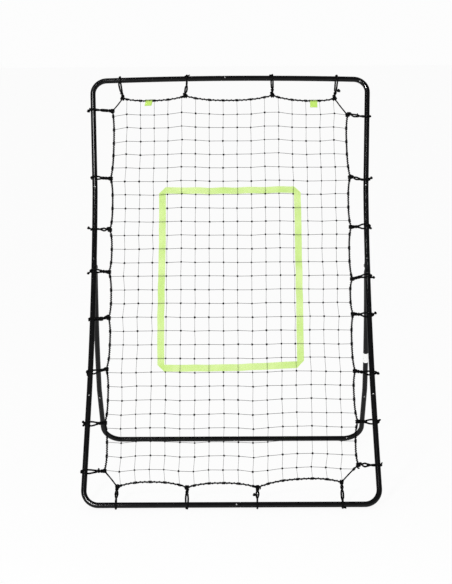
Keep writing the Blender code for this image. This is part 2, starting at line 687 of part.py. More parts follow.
def all_lashings():
    """The 24 lashings in order round the frame, starting at the lower left."""
    lashings = []
    for count, (tube_share, rope_share, inset) in enumerate(LEFT_LASHINGS, 1):
        tube_s, rope_s = clear_of_bracket(tube_share * FRAME_LENGTH), rope_share * FRAME_LENGTH
        lashings.append(Lashing(
            f"left_lashing_{count}", (-side_half_width(tube_s), tube_s),
            (-side_half_width(rope_s) + inset, rope_s), (1.0, 0.0), 0.0, 1.0,
        ))
    for count, (tube_share, rope_share, inset) in enumerate(TOP_LASHINGS, 1):
        tube_x, rope_x = tube_share * FRAME_HALF_WIDTH, rope_share * FRAME_HALF_WIDTH
        lashings.append(Lashing(
            f"top_lashing_{count}", (tube_x, top_height(tube_x)),
            (rope_x, top_height(rope_x) - inset), (0.0, -1.0), 0.0, -1.0,
        ))
    for count, (tube_share, rope_share, inset) in reversed(list(enumerate(RIGHT_LASHINGS, 1))):
        tube_s, rope_s = clear_of_bracket(tube_share * FRAME_LENGTH), rope_share * FRAME_LENGTH
        lashings.append(Lashing(
            f"right_lashing_{count}", (side_half_width(tube_s), tube_s),
            (side_half_width(rope_s) - inset, rope_s), (-1.0, 0.0), 0.0, 1.0,
        ))
    for count, (tube_share, rope_share, inset) in reversed(list(enumerate(BOTTOM_LASHINGS, 1))):
        tube_x, rope_x = tube_share * FRAME_HALF_WIDTH, rope_share * FRAME_HALF_WIDTH
        lashings.append(Lashing(
            f"bottom_lashing_{count}", (tube_x, 0.0), (rope_x, inset), (0.0, 1.0), BOTTOM_KNOT_TURN, 1.0,
        ))
    return lashings


def rope_route(lashings):
    """The rope's own points: each lashing, and the bight between two on the same side.

    It cuts each corner straight, from the last lashing of one side to the first of the next.
    """
    scallops = {"left": SIDE_SCALLOP, "right": SIDE_SCALLOP, "top": TOP_SCALLOP, "bottom": BOTTOM_SCALLOP}
    route = []
    for here, there in zip(lashings, lashings[1:] + lashings[:1]):
        route.append(here.rope_place)
        side = here.name.split("_")[0]
        if side == there.name.split("_")[0]:
            route.append((here.rope_place + there.rope_place) / 2.0 + here.inward * scallops[side])
    return route


def smooth_loop(route, steps):
    """A closed smooth curve through the route's points."""
    points = []
    count = len(route)
    for index in range(count):
        before, here, there, after = (route[(index + shift) % count] for shift in (-1, 0, 1, 2))
        for step in range(steps):
            t = step / steps
            points.append(0.5 * (
                2.0 * here + (there - before) * t
                + (2.0 * before - 5.0 * here + 4.0 * there - after) * t * t
                + (3.0 * here - before - 3.0 * there + after) * t * t * t
            ))
    return points


def build_rope(plane, lashings):
    """The border rope, one closed loop."""
    route = rope_route(lashings)
    points = smooth_loop(route, ROPE_STEPS)
    count = len(points)
    for lashing in lashings:
        place = route.index(lashing.rope_place) * ROPE_STEPS
        lashing.rope_way = (points[(place + 1) % count] - points[place - 1]).normalized()
    mesh = swept_mesh("border_rope", points, [ROPE_R] * count, 6, closed=True)
    add_object("border_rope", mesh, plane, rope_black)
    return points


def lashing_path(lashing):
    """Points and radii of a lashing: a belt round tube and rope, a knot and a short tail."""
    inward = lashing.inward.to_3d()
    along = Vector((-inward.y, inward.x, 0.0))
    out = Vector((0.0, 0.0, 1.0))
    tube = lashing.tube_place.to_3d()
    rope = lashing.rope_place.to_3d()
    rope_along = lashing.rope_way.to_3d()
    if rope_along.dot(along) < 0.0:
        rope_along = -rope_along
    rope_inward = out.cross(rope_along)
    if rope_inward.dot(inward) < 0.0:
        rope_inward = -rope_inward
    tube_r = wrap_vertex_radius(WRAP_R, WRAP_STEP)
    rope_r = wrap_vertex_radius(ROPE_WRAP_R, ROPE_WRAP_STEP)

    def round_tube(angle, shift):
        return tube + tube_r * (-math.cos(angle) * inward + math.sin(angle) * out) + shift * along

    def round_rope(angle, shift):
        return rope + rope_r * (math.cos(angle) * rope_inward + math.sin(angle) * out) + shift * rope_along

    quarter = math.pi / 2.0
    turn = lashing.knot_turn
    front_steps = max(1, round((quarter - turn) / WRAP_STEP))
    back_steps = max(2, round((quarter + turn) / WRAP_STEP))
    spread = STRAND_SPREAD * lashing.tail_way
    points = [round_tube(turn + (quarter - turn) * step / front_steps, spread) for step in range(front_steps + 1)]
    for step in range(4):
        angle = quarter - ROPE_WRAP_STEP * step
        points.append(round_rope(angle, spread * (1.0 - 2.0 * step / 3.0)))
    points += [round_tube(-quarter + (quarter + turn) * step / back_steps, -spread) for step in range(back_steps + 1)]
    radii = [CORD_R] * len(points)
    outward = -math.cos(turn) * inward + math.sin(turn) * out
    tail = (outward - along * lashing.tail_way).normalized()
    knot_start = points[-1] + outward * (1.4 * CORD_R) - along * (lashing.tail_way * CORD_R)
    knot_end = knot_start + tail * (1.6 * CORD_R)
    tail_start = knot_end + tail * CORD_R
    tail_end = tail_start + tail * TAIL_LENGTH
    points += [knot_start, knot_end, tail_start, tail_end]
    radii += [KNOT_SWELL * CORD_R, KNOT_SWELL * CORD_R, CORD_R, 0.85 * CORD_R]
    return points, radii


def build_lashings(plane, lashings):
    """Twenty-four cord lashings; those under the bottom tube are flat where they stand."""
    span = 2.0 * STAND_DEPTH
    floor_mesh = box_mesh("floor_cut", (-span, -span, -0.1), (span, span, 0.0))
    floor = add_cutter("floor_cut", floor_mesh, None, Matrix.Identity(4))
    for lashing in lashings:
        points, radii = lashing_path(lashing)
        mesh = swept_mesh(lashing.name, points, radii, 6, capped=True, flat_plane=False)
        obj = add_object(lashing.name, mesh, plane, cord_black)
        if lashing.name.startswith("bottom"):
            cut(obj, floor)


def crossing(rope_points, axis, place, positive_side):
    """Where the rope crosses a straight net line, and its slope there, on one side of the middle."""
    other = 1 - axis
    best = None
    for here, there in zip(rope_points, rope_points[1:] + rope_points[:1]):
        low, high = sorted((here[axis], there[axis]))
        if not low <= place <= high or high - low < 1e-9:
            continue
        share = (place - here[axis]) / (there[axis] - here[axis])
        value = here[other] + (there[other] - here[other]) * share
        slope = (there[other] - here[other]) / (there[axis] - here[axis])
        middle = 0.0 if other == 0 else FRAME_LENGTH / 2.0
        if (value > middle) == positive_side:
            best = (value, slope)
    return best


def build_net(plane, rope_points, lashings):
    """A flat net of bars, drawn as a grid whose cells are taken out."""
    left = max(point.x for point in rope_points if point.x < 0.0 and 0.3 < point.y / FRAME_LENGTH < 0.7)
    right = min(point.x for point in rope_points if point.x > 0.0 and 0.3 < point.y / FRAME_LENGTH < 0.7)
    low = min(lashing.rope_place.y for lashing in lashings if lashing.name.startswith("bottom"))
    high = max(lashing.rope_place.y for lashing in lashings if lashing.name.startswith("top"))
    column_pitch = (right - left) / (NET_COLUMNS + 1)
    row_pitch = (high - low) / (NET_ROWS + 1)
    column_edges = [None] + [
        left + column_pitch * (index + 1) + shift for index in range(NET_COLUMNS) for shift in (-BAR / 2, BAR / 2)
    ] + [None]
    row_edges = [None] + [
        low + row_pitch * (index + 1) + shift for index in range(NET_ROWS) for shift in (-BAR / 2, BAR / 2)
    ] + [None]

    def sag(height):
        share = (height - low) / (high - low)
        return 4.0 * NET_SAG * share * (1.0 - share)

    def bar_end(axis, place, positive_side):
        value, slope = crossing(rope_points, axis, place, positive_side)
        clear = (ROPE_R + GAP) * math.hypot(1.0, slope) + BAR / 2 * abs(slope)
        for lashing in lashings:
            reach = STRAND_SPREAD + CORD_R + BAR
            if abs(lashing.rope_place[axis] - place) < reach and abs(lashing.rope_place[1 - axis] - value) < 0.02:
                clear = max(clear, ROPE_R + 3.0 * GAP + 2.4 * CORD_R)
        return value - clear if positive_side else value + clear

    body = bmesh.new()
    columns, rows = len(column_edges) - 1, len(row_edges) - 1
    bmesh.ops.create_grid(body, x_segments=columns, y_segments=rows, size=1.0)
    body.verts.ensure_lookup_table()
    holes = []
    for face in body.faces:
        middle = face.calc_center_median()
        column = int((middle.x + 1.0) / 2.0 * columns)
        row = int((middle.y + 1.0) / 2.0 * rows)
        if column % 2 == 0 and row % 2 == 0:
            holes.append(face)
    places = {}
    for vertex in body.verts:
        places[vertex] = (round((vertex.co.x + 1.0) / 2.0 * columns), round((vertex.co.y + 1.0) / 2.0 * rows))
    bmesh.ops.delete(body, geom=holes, context="FACES_ONLY")
    loose = [vertex for vertex in body.verts if not vertex.link_faces]
    for vertex in loose:
        places.pop(vertex)
    bmesh.ops.delete(body, geom=loose, context="VERTS")
    for vertex, (column, row) in places.items():
        across, height = column_edges[column], row_edges[row]
        if across is None:
            height -= sag(height)
            across = bar_end(1, height, column > 0)
        elif height is None:
            height = bar_end(0, across, row > 0)
        else:
            height -= sag(height)
        vertex.co = (across, height, 0.0)
    stray = [edge for edge in body.edges if not edge.link_faces]
    bmesh.ops.delete(body, geom=stray, context="EDGES")
    mesh = bpy.data.meshes.new("net")
    body.to_mesh(mesh)
    body.free()
    net = add_object("net", mesh, plane, net_black)
    add_wall(net, BAR, offset=0.0)


def build_target_band(plane):
    """A flat square ring of ribbon in front of the net."""
    middle = FRAME_LENGTH / 2.0 + TARGET_RISE
    front = BAR / 2.0 + GAP
    mesh = bpy.data.meshes.new("target_band")
    body = bmesh.new()
    bmesh.ops.create_grid(body, x_segments=3, y_segments=3, size=1.0)
    half_sizes = (TARGET_WIDTH / 2.0, TARGET_HEIGHT / 2.0)
    centre_face = [face for face in body.faces if face.calc_center_median().length < 0.01]
    for vertex in body.verts:
        for axis in (0, 1):
            sign = math.copysign(1.0, vertex.co[axis])
            half = half_sizes[axis]
            vertex.co[axis] = sign * (half if abs(vertex.co[axis]) > 0.5 else half - BAND_WIDTH)
    bmesh.ops.delete(body, geom=centre_face, context="FACES_ONLY")
    body.to_mesh(mesh)
    body.free()
    band = add_object("target_band", mesh, plane, signal_green)
    band.location = (0.0, middle, front + BAND_THICKNESS / 2.0)
    add_wall(band, BAND_THICKNESS, offset=0.0)


def build_tab(name, across, plane, rope_points):
    """A short piece of ribbon folded over the rope."""
    height, slope = crossing(rope_points, 0, across, True)
    outer = FLAP_OFFSET + TAB_THICKNESS
    mesh = bpy.data.meshes.new(name)
    body = bmesh.new()
    bmesh.ops.create_grid(body, x_segments=1, y_segments=6, size=1.0)
    for vertex in body.verts:
        step = round((vertex.co.y + 1.0) * 3.0)
        angle = math.pi * (step - 1) / 4.0
        side = math.copysign(TAB_WIDTH / 2.0, vertex.co.x)
        if step == 0:
            vertex.co = (side, -TAB_DROP, outer)
        elif step == 6:
            vertex.co = (side, -TAB_DROP, -outer)
        else:
            vertex.co = (side, outer * math.sin(angle), outer * math.cos(angle))
    bmesh.ops.recalc_face_normals(body, faces=body.faces)
    body.to_mesh(mesh)
    body.free()
    tab = add_object(name, mesh, plane, signal_green)
    tab.location = (across, height, 0.0)
    tab.rotation_euler.z = math.atan(slope)
    add_wall(tab, TAB_THICKNESS)
    return tab


def centre_over_origin(root):
    """Slide the object along Y until the origin is under its middle."""
    bpy.context.view_layer.update()
    depsgraph = bpy.context.evaluated_depsgraph_get()
    reach = []
    for obj in parts.objects:
        if obj.type != "MESH":
            continue
        evaluated = obj.evaluated_get(depsgraph)
        mesh = evaluated.to_mesh()
        reach += [(evaluated.matrix_world @ vertex.co).y for vertex in mesh.vertices]
        evaluated.to_mesh_clear()
    root.location.y = -(min(reach) + max(reach)) / 2.0


remove_scene_objects()
parts = new_collection(OBJECT_NAME)
cutters = new_collection("cutters")

black_steel = finish("black_powder_coat", (0.012, 0.012, 0.013), 0.38)
bright_steel = finish("zinc_plated_steel", (0.72, 0.73, 0.74), 0.3, 1.0)
white_film = finish("white_label_film", (0.86, 0.86, 0.85), 0.45)
rope_black = finish("black_rope", (0.014, 0.014, 0.016), 0.85)
cord_black = finish("black_lashing_cord", (0.011, 0.011, 0.012), 0.8)
net_black = finish("black_net_twine", (0.02, 0.02, 0.022), 0.85)
signal_green = finish("fluorescent_green_ribbon", (0.42, 0.9, 0.16), 0.6)

root = add_empty("rebound_net_root", None, Matrix.Identity(4))
front_plane = add_empty(
    "front_plane", root,
    Matrix.Translation((0.0, 0.0, FRONT_TUBE_HEIGHT)) @ Matrix.Rotation(math.pi / 2.0 - LEAN, 4, "X"),
)
stand_pivot = add_empty(
    "stand_pivot", root,
    Matrix.Translation((0.0, PIVOT_Y, PIVOT_Z)) @ Matrix.Rotation(math.pi / 2.0 + STAND_LEAN, 4, "X"),
)
stand_plane = add_empty("stand_plane", stand_pivot, Matrix.Translation((0.0, -LEG_LENGTH, 0.0)))

front_ways = build_front_frame(front_plane)
stand_way = build_rear_stand(stand_plane)
build_snap_buttons(front_plane, stand_plane, front_ways, stand_way)
for hinge_side, hinge_sign in (("left", -1.0), ("right", 1.0)):
    build_hinge(hinge_side, hinge_sign, front_plane)
frame_lashings = all_lashings()
rope_line = build_rope(front_plane, frame_lashings)
build_lashings(front_plane, frame_lashings)
build_net(front_plane, rope_line, frame_lashings)
build_target_band(front_plane)
build_tab("left_tab", LEFT_TAB_SHARE * FRAME_HALF_WIDTH, front_plane, rope_line)
build_tab("right_tab", RIGHT_TAB_SHARE * FRAME_HALF_WIDTH, front_plane, rope_line)
centre_over_origin(root)
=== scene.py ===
"""Looks of the soccer rebound net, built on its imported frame.

Metres, +Z up, front towards -Y. Pieces of the front frame are drawn in its leaning plane (X across,
Y up the slope, Z out of the front) and pieces of the rear stand in the stand's own plane, and are
then put in place.
"""
import json
import math
import random
from dataclasses import dataclass

import bmesh
import bpy
from mathutils import Matrix, Vector, noise


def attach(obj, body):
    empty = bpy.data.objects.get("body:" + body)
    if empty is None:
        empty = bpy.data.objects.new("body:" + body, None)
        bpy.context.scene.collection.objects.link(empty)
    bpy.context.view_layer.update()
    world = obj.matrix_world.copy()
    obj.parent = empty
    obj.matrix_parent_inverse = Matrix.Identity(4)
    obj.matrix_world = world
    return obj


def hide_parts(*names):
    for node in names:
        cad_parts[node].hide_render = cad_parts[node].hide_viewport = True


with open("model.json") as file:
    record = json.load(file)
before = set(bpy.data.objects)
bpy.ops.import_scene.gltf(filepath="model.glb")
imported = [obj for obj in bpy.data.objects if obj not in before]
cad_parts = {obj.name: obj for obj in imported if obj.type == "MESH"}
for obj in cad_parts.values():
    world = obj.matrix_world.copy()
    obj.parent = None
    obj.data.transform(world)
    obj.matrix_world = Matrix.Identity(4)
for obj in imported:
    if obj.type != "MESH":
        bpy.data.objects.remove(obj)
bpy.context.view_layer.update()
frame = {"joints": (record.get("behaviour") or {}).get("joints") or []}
SEED = 7

# Clearance between two pieces that touch, and the angle from which an edge shows as hard
GAP = 0.0003
HARD_EDGE = 35.0
CORD_HARD_EDGE = 80.0
QUARTER_TURN = math.pi / 2.0
FULL_TURN = 2.0 * math.pi
MILLIMETRE = 0.001
TINY = 1e-9

# Steel tube
TUBE_R = 0.0095
TUBE_WALL = 0.0012
TUBE_SIDES = 32
TUBE_RING_STEP = 0.022
BEND_STEPS = 18
INSERT_LENGTH = 0.050
SHOULDER_LENGTH = 0.0017
STRAIGHT_STEPS = 16
CROWN_SHARES = (0.15, 0.3, 0.45, 0.6, 0.75)
BORE_SIDES = 24

# Front frame
LEAN = math.radians(25.5)
FRAME_HALF_WIDTH = 0.500
FRAME_LENGTH = 1.550
TOP_CROWN = 0.0085
FRONT_BEND = 0.050
LOWER_SEAM = 0.388
UPPER_LEG = 0.4285
LOWER_DRAW_IN = 0.0132
UPPER_DRAW_IN = 0.0173
SIDE_BOW = 0.0042
BOTTOM_SEAM_X = 0.0287
TOP_SEAM_X = -0.0287

# Rear stand
STAND_DEPTH = 0.831
STAND_HALF_WIDTH = 0.501
REAR_BEND = 0.070
STAND_CORNER_LEG = 0.270
STAND_FLARE = 0.0027
LEG_BOW = 0.002
REAR_SEAM_X = 0.0188
LABEL_START = 0.4120
LABEL_LENGTH = 0.045
LABEL_THICKNESS = 0.0004
LABEL_STEPS = 12
LABEL_SIDES = 48
LEG_STEPS = 12
FLAT_STEPS = 8

# Fold hinge
HINGE_HEIGHT = 0.845
HINGE_SETBACK = 0.028
SWING_CLEARANCE = 0.0009
SHANK_R = 0.003
BOLT_HEAD_R = 0.0055
BOLT_HEAD_HEIGHT = 0.003
BOLT_HEAD_RIM = 0.0008
BRACKET_STEEL = 0.0015
BRACKET_OVERLAP = 0.009
BRACKET_TOP = 0.008
BRACKET_ROUND_STEPS = 24
BRACKET_EDGE = 0.0003
BRACKET_EDGE_ANGLE = 50.0
CUT_MARGIN = 0.01
FLAT_WIDTH = 0.012
FLAT_DEPTH = 0.023
NUT_ACROSS_FLATS = 0.010
NUT_HEIGHT = 0.005
NUT_CHAMFER = 0.0006
NUT_FACE_SHARE = 0.98
CHAMFER_REACH = 1.01
CHAMFER_SIDES = 48
PIVOT_HEAD_R = 0.005
PIVOT_HEAD_HEIGHT = 0.002
PIVOT_HEAD_RIM = 0.0005
THREAD_END = 0.0015
THREAD_LENGTH = 0.004
THREAD_PITCH = 0.0008
THREAD_DEPTH = 0.0003
THREAD_TIP_INSET = 0.0004
THREAD_TIP = 0.0002
FLAT_RUN = 0.004
FLAT_HALFWAY = 0.011
ROUND_START = 0.021
TURNED_SIDES = 32
DOME_STEPS = 8

# Snap buttons
BUTTON_R = 0.0035
BUTTON_PROUD = 0.0025
BUTTON_SINK = 0.0001
BUTTON_SETBACK = 0.0115
STAND_BUTTON_SETBACK = 0.034
CLIP_THICKNESS = 0.0007
CLIP_LENGTH = 0.024
CLIP_TAIL = 0.006
CLIP_TURN_STEPS = 16
NIB_DOME_SHARE = 0.72

# Border rope: each lashing's place on the tube and on the rope as shares of the side, and how far
# in from the tube's middle the rope lies there
LEFT_LASHINGS = (
    (0.0735, 0.0748, 0.066), (0.1794, 0.1813, 0.059), (0.2974, 0.3026, 0.055), (0.4181, 0.4200, 0.056),
    (0.5290, 0.5277, 0.053), (0.6290, 0.6277, 0.054), (0.7535, 0.7523, 0.057), (0.9226, 0.9194, 0.069),
)
RIGHT_LASHINGS = (
    (0.0852, 0.0858, 0.066), (0.1813, 0.1819, 0.059), (0.2942, 0.2955, 0.058), (0.4245, 0.4265, 0.056),
    (0.5110, 0.5084, 0.055), (0.6329, 0.6316, 0.055), (0.7484, 0.7523, 0.057), (0.9039, 0.9058, 0.070),
)
TOP_LASHINGS = (
    (-0.798, -0.780, 0.071), (-0.314, -0.324, 0.067), (0.306, 0.308, 0.067), (0.772, 0.758, 0.077),
)
BOTTOM_LASHINGS = (
    (-0.778, -0.772, 0.062), (-0.300, -0.300, 0.059), (0.174, 0.176, 0.058), (0.748, 0.744, 0.075),
)
SIDE_SCALLOPS = (0.008,) * 7
TOP_SCALLOPS = (0.0135, 0.0185, 0.0145)
BOTTOM_SCALLOPS = (0.0175, 0.0150, 0.0195)
CORNER_SAG = 0.0012
CORNER_FULLNESS = 2.0
SIDE_FULLNESS = 3.0
END_FULLNESS = 2.5
ROPE_R = 0.0025
ROPE_STEPS = 36
ROPE_SIDES = 10
ROPE_UNEVENNESS = 0.15
ROPE_NOISE_SCALE = 90.0
SPIRAL_NOISE_SCALE = 40.0
SPIRAL_STEPS_PER_TURN = 8.0
WHIPPING_R = 0.0010
SIDE_WHIPPING_PITCH = 0.0075
END_WHIPPING_PITCH = 0.016

# Lashing cord
CORD_R = 0.0031
CORD_SIDES = 8
STRAND_POINTS = 44
KNOT_POINTS = 20
LUMP_SWELL = 1.24
TWIST_REACH = 0.13
WRAP_START = math.radians(48.0)
WRAP_STEPS = 14
TAIL_STEPS = 8
RING_PLACE = 1.05
BEND_PLACE, BEND_WIDTH = 0.1, 0.15
EYE_WIDTH = 0.1
SPREAD_RUN = 0.65
LIFT_SHARE, LIFT_START = 0.7, 0.7
TUCK_START = 0.55
STACK_RUN, STACK_END = 0.2, 0.95
BACK_CLOSING = 0.7
KNOT_CORD_SHARE = 0.33
LUMP_TILT = 0.4
TAIL_SHARE, TAIL_TIP_SHARE, TAIL_TIP_START = 0.9, 0.6, 0.85
LUMP_LIFT, KNOB_TAIL_LIFT, HOOK_LIFT, TAIL_LIFT = 1.0, 4.0, 1.5, 2.0
FORWARD_OF_BOTTOM_TUBE = 3.0

# Net
MESH_PITCH = 0.0499
FIRST_COLUMN = -0.3745
COLUMNS = 16
LOWEST_ROW = 0.119
ROW_PITCH = 0.0477
ROW_STRETCH = 0.0000766
ROWS = 27
ROW_TWINE_R = 0.00076
COLUMN_TWINE_R = 0.0006
TWINE_SIDES = 5
KNOT_SIZE = 0.0025
KNOT_TWINE_R = 0.0017
NET_KNOT_POINTS = 12
KNOT_SIDES = 4
PULL_SHARE = 0.6
PULL_DECAY = 0.30
KNOT_JITTER = 0.0011
TWINE_SLACK = 0.0012
SLACK_NOISE_SCALE = 34.0
KNOT_TILT = 0.5
KNOT_SIZES = 0.85, 1.15
EDGE_DROOP = 0.0075
DROOPING_ROWS = 4
HITCH_TURNS = 4.2
HITCH_R = 0.0012
HITCH_STEPS_PER_TURN = 9
HITCH_SPACING = 2.1

# Target band: its outer corners across and up the slope, from the top left one clockwise, and the
# four runs of the ribbon: top, right, bottom, left
BAND_CORNERS = ((-0.2545, 1.132), (0.2505, 1.133), (0.2522, 0.4715), (-0.2535, 0.459))
BAND_WIDTH = 0.0240
BAND_THICKNESS = 0.0005
BAND_WEAVE = 0.0022
BAND_BOW = (0.0030, -0.0004, -0.0050, -0.0004)
BAND_SWAY = (0.0003, 0.0, -0.0003, -0.0015)
BAND_FIRST_OVER = (0, 1, 0, 0)
BAND_RIPPLE = 0.0011
BAND_STEP = 0.004
BAND_CELLS = 6
BAND_NOISE_SCALE = 19.0
RIPPLE_FADE, WEAVE_FADE, LAYER_FADE = 0.03, 0.012, 0.003
FOLD_LAYER = 0.8 * BAND_THICKNESS
WEAVE_REACH = 0.02
RIB_PITCH, THREAD_SPACING = 0.0011, 0.0009
STAIN_SHARE, WEAVE_SHARE = 0.7, 0.25
WELD = 0.0002

# Tabs
TAB_THICKNESS = 0.0006
TABS = {
    "left_tab": {"across": -0.2930, "width": 0.0240, "drop": 0.0195, "slant": -0.0050},
    "right_tab": {"across": 0.3030, "width": 0.0260, "drop": 0.0258, "slant": 0.0},
}
TAB_CELLS = 8
TAB_RIPPLE = 0.0006
TAB_RIPPLES = 260.0
TAB_CLEARANCE = 0.0006
TAB_BACK_SHARE = 0.92
TAB_ROUND_STEPS = 10
STITCH_R = 0.0009
STITCH_PITCH = 0.0042
STITCH_REACH = 0.6
STITCH_CLEARANCE = 0.0012

# Camera, as measured from the photograph: place from the front tube's middle, turns, and lens
PHOTO_WIDTH, PHOTO_HEIGHT = 452, 584
CAMERA_FROM_TUBE = (0.03109, -4.80362, 1.57569)
CAMERA_YAW = -0.00929
CAMERA_PITCH = 0.17488
CAMERA_ROLL = -0.00686
CAMERA_FOCAL_PX = 1488.0
SENSOR = 36.0

# Each finish's darker and lighter shade
COAT_SHADES = (0.003, 0.003, 0.0035), (0.006, 0.006, 0.0065)
ZINC_SHADES = (0.50, 0.51, 0.53), (0.70, 0.70, 0.68)
OXIDE_SHADES = (0.03, 0.03, 0.032), (0.075, 0.075, 0.075)
FILM_SHADES = (0.90, 0.90, 0.89), (0.96, 0.96, 0.95)
# Rope, cord and twine: the darker shade is painted shade in the grooves between strands, the lighter a
# painted sheen on their crowns
ROPE_SHADES = (0.001, 0.001, 0.0012), (0.006, 0.006, 0.0065)
CORD_SHADES = (0.001, 0.001, 0.001), (0.006, 0.006, 0.0065)
TWINE_SHADES = (0.002, 0.002, 0.0025), (0.012, 0.012, 0.014)
# Ribbons: the shades are partly painted shade between the threads, partly random stain
BAND_SHADES = (0.60, 0.86, 0.21), (0.79, 0.96, 0.42)
TAB_SHADES = (0.46, 0.74, 0.09), (0.60, 0.88, 0.19)
WHITE = (1.0, 1.0, 1.0, 1.0)

# Light
SURROUND_LIGHT = 0.66
SURROUND_MIRRORED = 0.06
SURROUND_SEEN = 0.98
FLOOR_LIFT = 0.89
FLOOR_SEEN_SHADE = 0.12
FLOOR_MIRRORED = 0.33
FLOOR_COLOUR = 0.93
FLOOR_REACH = 60.0
WIDE_BEAM = 180.0
LAMPS = {
    "left_tube_light": {
        "place": (-1.50, -2.47, 4.07), "target": (-0.73, 0.154, 1.219), "size": (1.4, 0.58),
        "power": 1.0, "beam": 24.0,
    },
    "bend_light": {
        "place": (-1.62, -3.62, 4.72), "target": (0.72, 0.39, 1.72), "size": (0.4, 1.3),
        "power": 3.4, "beam": 12.0,
    },
    "front_light": {
        "place": (-1.32, -4.80, 2.33), "target": (-0.2, -0.1, 0.6), "size": (0.5, 0.5),
        "power": 80.0, "beam": WIDE_BEAM,
    },
}

# Worked out from the sizes above
INSERT_R = TUBE_R - TUBE_WALL - GAP
INSERT_BORE_R = INSERT_R - TUBE_WALL
HOLE_R = BUTTON_R + GAP
BUTTON_TRAVEL = BUTTON_PROUD + TUBE_WALL + BUTTON_SINK
CAD_TUBE_SIDES = 12
CLIP_TOP = math.sqrt((INSERT_BORE_R * math.cos(math.pi / CAD_TUBE_SIDES) - GAP) ** 2 - BUTTON_R ** 2)
CLIP_BACK = BUTTON_TRAVEL - CLIP_TOP
SHANK_HOLE_R = SHANK_R + GAP
UPPER_SEAM = FRAME_LENGTH - UPPER_LEG
WRAP_R = TUBE_R + GAP + CORD_R
WEB_FRONT = TUBE_R + GAP
WEB_BACK = WEB_FRONT + BRACKET_STEEL
EAR_INNER = FLAT_WIDTH / 2.0 + GAP
EAR_OUTER = EAR_INNER + BRACKET_STEEL
NUT_FRONT = WEB_BACK + GAP
NUT_BACK = NUT_FRONT + NUT_HEIGHT
NUT_CORNER_R = NUT_ACROSS_FLATS / 2.0 / math.cos(math.pi / 6.0)
FLAT_TRANSITION = tuple(BRACKET_OVERLAP + run for run in (FLAT_RUN, FLAT_HALFWAY, ROUND_START))

FRONT_BODY = "front_frame"
STAND_BODY = "rear_stand"
SIDES = (("right", 1.0), ("left", -1.0))

# The two planes, from the fold joint of the frame
PIVOT = Vector(next(joint["pos_m"] for joint in frame["joints"] if joint["name"] == "stand_fold"))
UP_SLOPE = Vector((0.0, math.sin(LEAN), math.cos(LEAN)))
OUT = Vector((0.0, -math.cos(LEAN), math.sin(LEAN)))
FRONT_TUBE = PIVOT - UP_SLOPE * HINGE_HEIGHT + OUT * HINGE_SETBACK
FRONT = Matrix.Translation(FRONT_TUBE) @ Matrix.Rotation(QUARTER_TURN - LEAN, 4, "X")
LEG_RUN = FRONT_TUBE.y + STAND_DEPTH - PIVOT.y
LEG_LENGTH = math.hypot(LEG_RUN, PIVOT.z - TUBE_R)
STAND_LEAN = math.atan2(LEG_RUN, PIVOT.z - TUBE_R)
STAND = (
    Matrix.Translation(PIVOT) @ Matrix.Rotation(QUARTER_TURN + STAND_LEAN, 4, "X")
    @ Matrix.Translation((0.0, -LEG_LENGTH, 0.0))
)
X_TO_BACK = Matrix(((0.0, 0.0, 1.0), (0.0, 1.0, 0.0), (-1.0, 0.0, 0.0))).to_4x4()
PLANES = {FRONT_BODY: FRONT, STAND_BODY: STAND}
PLANE_OUT = Vector((0.0, 0.0, 1.0))
APEX_ANGLE = LEAN + STAND_LEAN
FLAT_END = (HINGE_SETBACK - NUT_FRONT - FLAT_DEPTH / 2.0 * math.cos(APEX_ANGLE)) / math.sin(APEX_ANGLE)
SWING_R = math.hypot(FLAT_END, FLAT_DEPTH / 2.0) + SWING_CLEARANCE
BOLT_RISE = NUT_CORNER_R + math.sqrt(max(SWING_R ** 2 - (HINGE_SETBACK - NUT_BACK) ** 2, 0.0))


# Outlines of the two frames

def side_half_width(along):
    """Distance from the middle to a side tube's axis, at a place up the front frame."""
    if along < LOWER_SEAM:
        return FRAME_HALF_WIDTH - LOWER_DRAW_IN * along / LOWER_SEAM
    if along > UPPER_SEAM:
        return FRAME_HALF_WIDTH - UPPER_DRAW_IN * (FRAME_LENGTH - along) / UPPER_LEG
    share = (along - LOWER_SEAM) / (UPPER_SEAM - LOWER_SEAM)
    lower = FRAME_HALF_WIDTH - LOWER_DRAW_IN
    upper = FRAME_HALF_WIDTH - UPPER_DRAW_IN
    return lower + (upper - lower) * share - 4.0 * SIDE_BOW * share * (1.0 - share)


def top_height(across):
    """Height of the top tube's axis up the slope, at a place across the frame."""
    return FRAME_LENGTH - TOP_CROWN * (across / FRAME_HALF_WIDTH) ** 2


def top_point(across):
    """A point of the top tube's axis."""
    return (across, top_height(across))


def leg_half_width(along):
    """Distance from the middle to a rear leg's axis, at a place up the stand."""
    if along < STAND_CORNER_LEG:
        return STAND_HALF_WIDTH + STAND_FLARE * along / STAND_CORNER_LEG
    start = STAND_HALF_WIDTH + STAND_FLARE
    share = min((along - STAND_CORNER_LEG) / (LEG_LENGTH - FLAT_TRANSITION[0] - STAND_CORNER_LEG), 1.0)
    return start + (side_half_width(HINGE_HEIGHT) - start) * share + 4.0 * LEG_BOW * share * (1.0 - share)


def smooth_share(value):
    """A smooth step from 0 to 1."""
    value = min(max(value, 0.0), 1.0)
    return value * value * (3.0 - 2.0 * value)


def evenly(start, end, steps):
    """Places from start to end in even steps, without the start."""
    return [start + (end - start) * step / steps for step in range(1, steps + 1)]


def rounded_corner(start, corner, end, radius):
    """The bend that replaces the corner between two straight runs, and the end of the second."""
    start, corner, end = Vector(start), Vector(corner), Vector(end)
    to_start = (start - corner).normalized()
    to_end = (end - corner).normalized()
    half_angle = to_start.angle(to_end) / 2.0
    bisector = (to_start + to_end).normalized()
    centre = corner + bisector * (radius / math.sin(half_angle))
    first = corner + to_start * (radius / math.tan(half_angle)) - centre
    turn = math.pi - 2.0 * half_angle
    if to_start.cross(to_end) > 0.0:
        turn = -turn
    bend = [centre + Matrix.Rotation(turn * step / BEND_STEPS, 2) @ first for step in range(BEND_STEPS + 1)]
    return [*bend, end]


def mirrored(points):
    """The same points on the left side."""
    return [(-x, y) for x, y in points]


# Building helpers

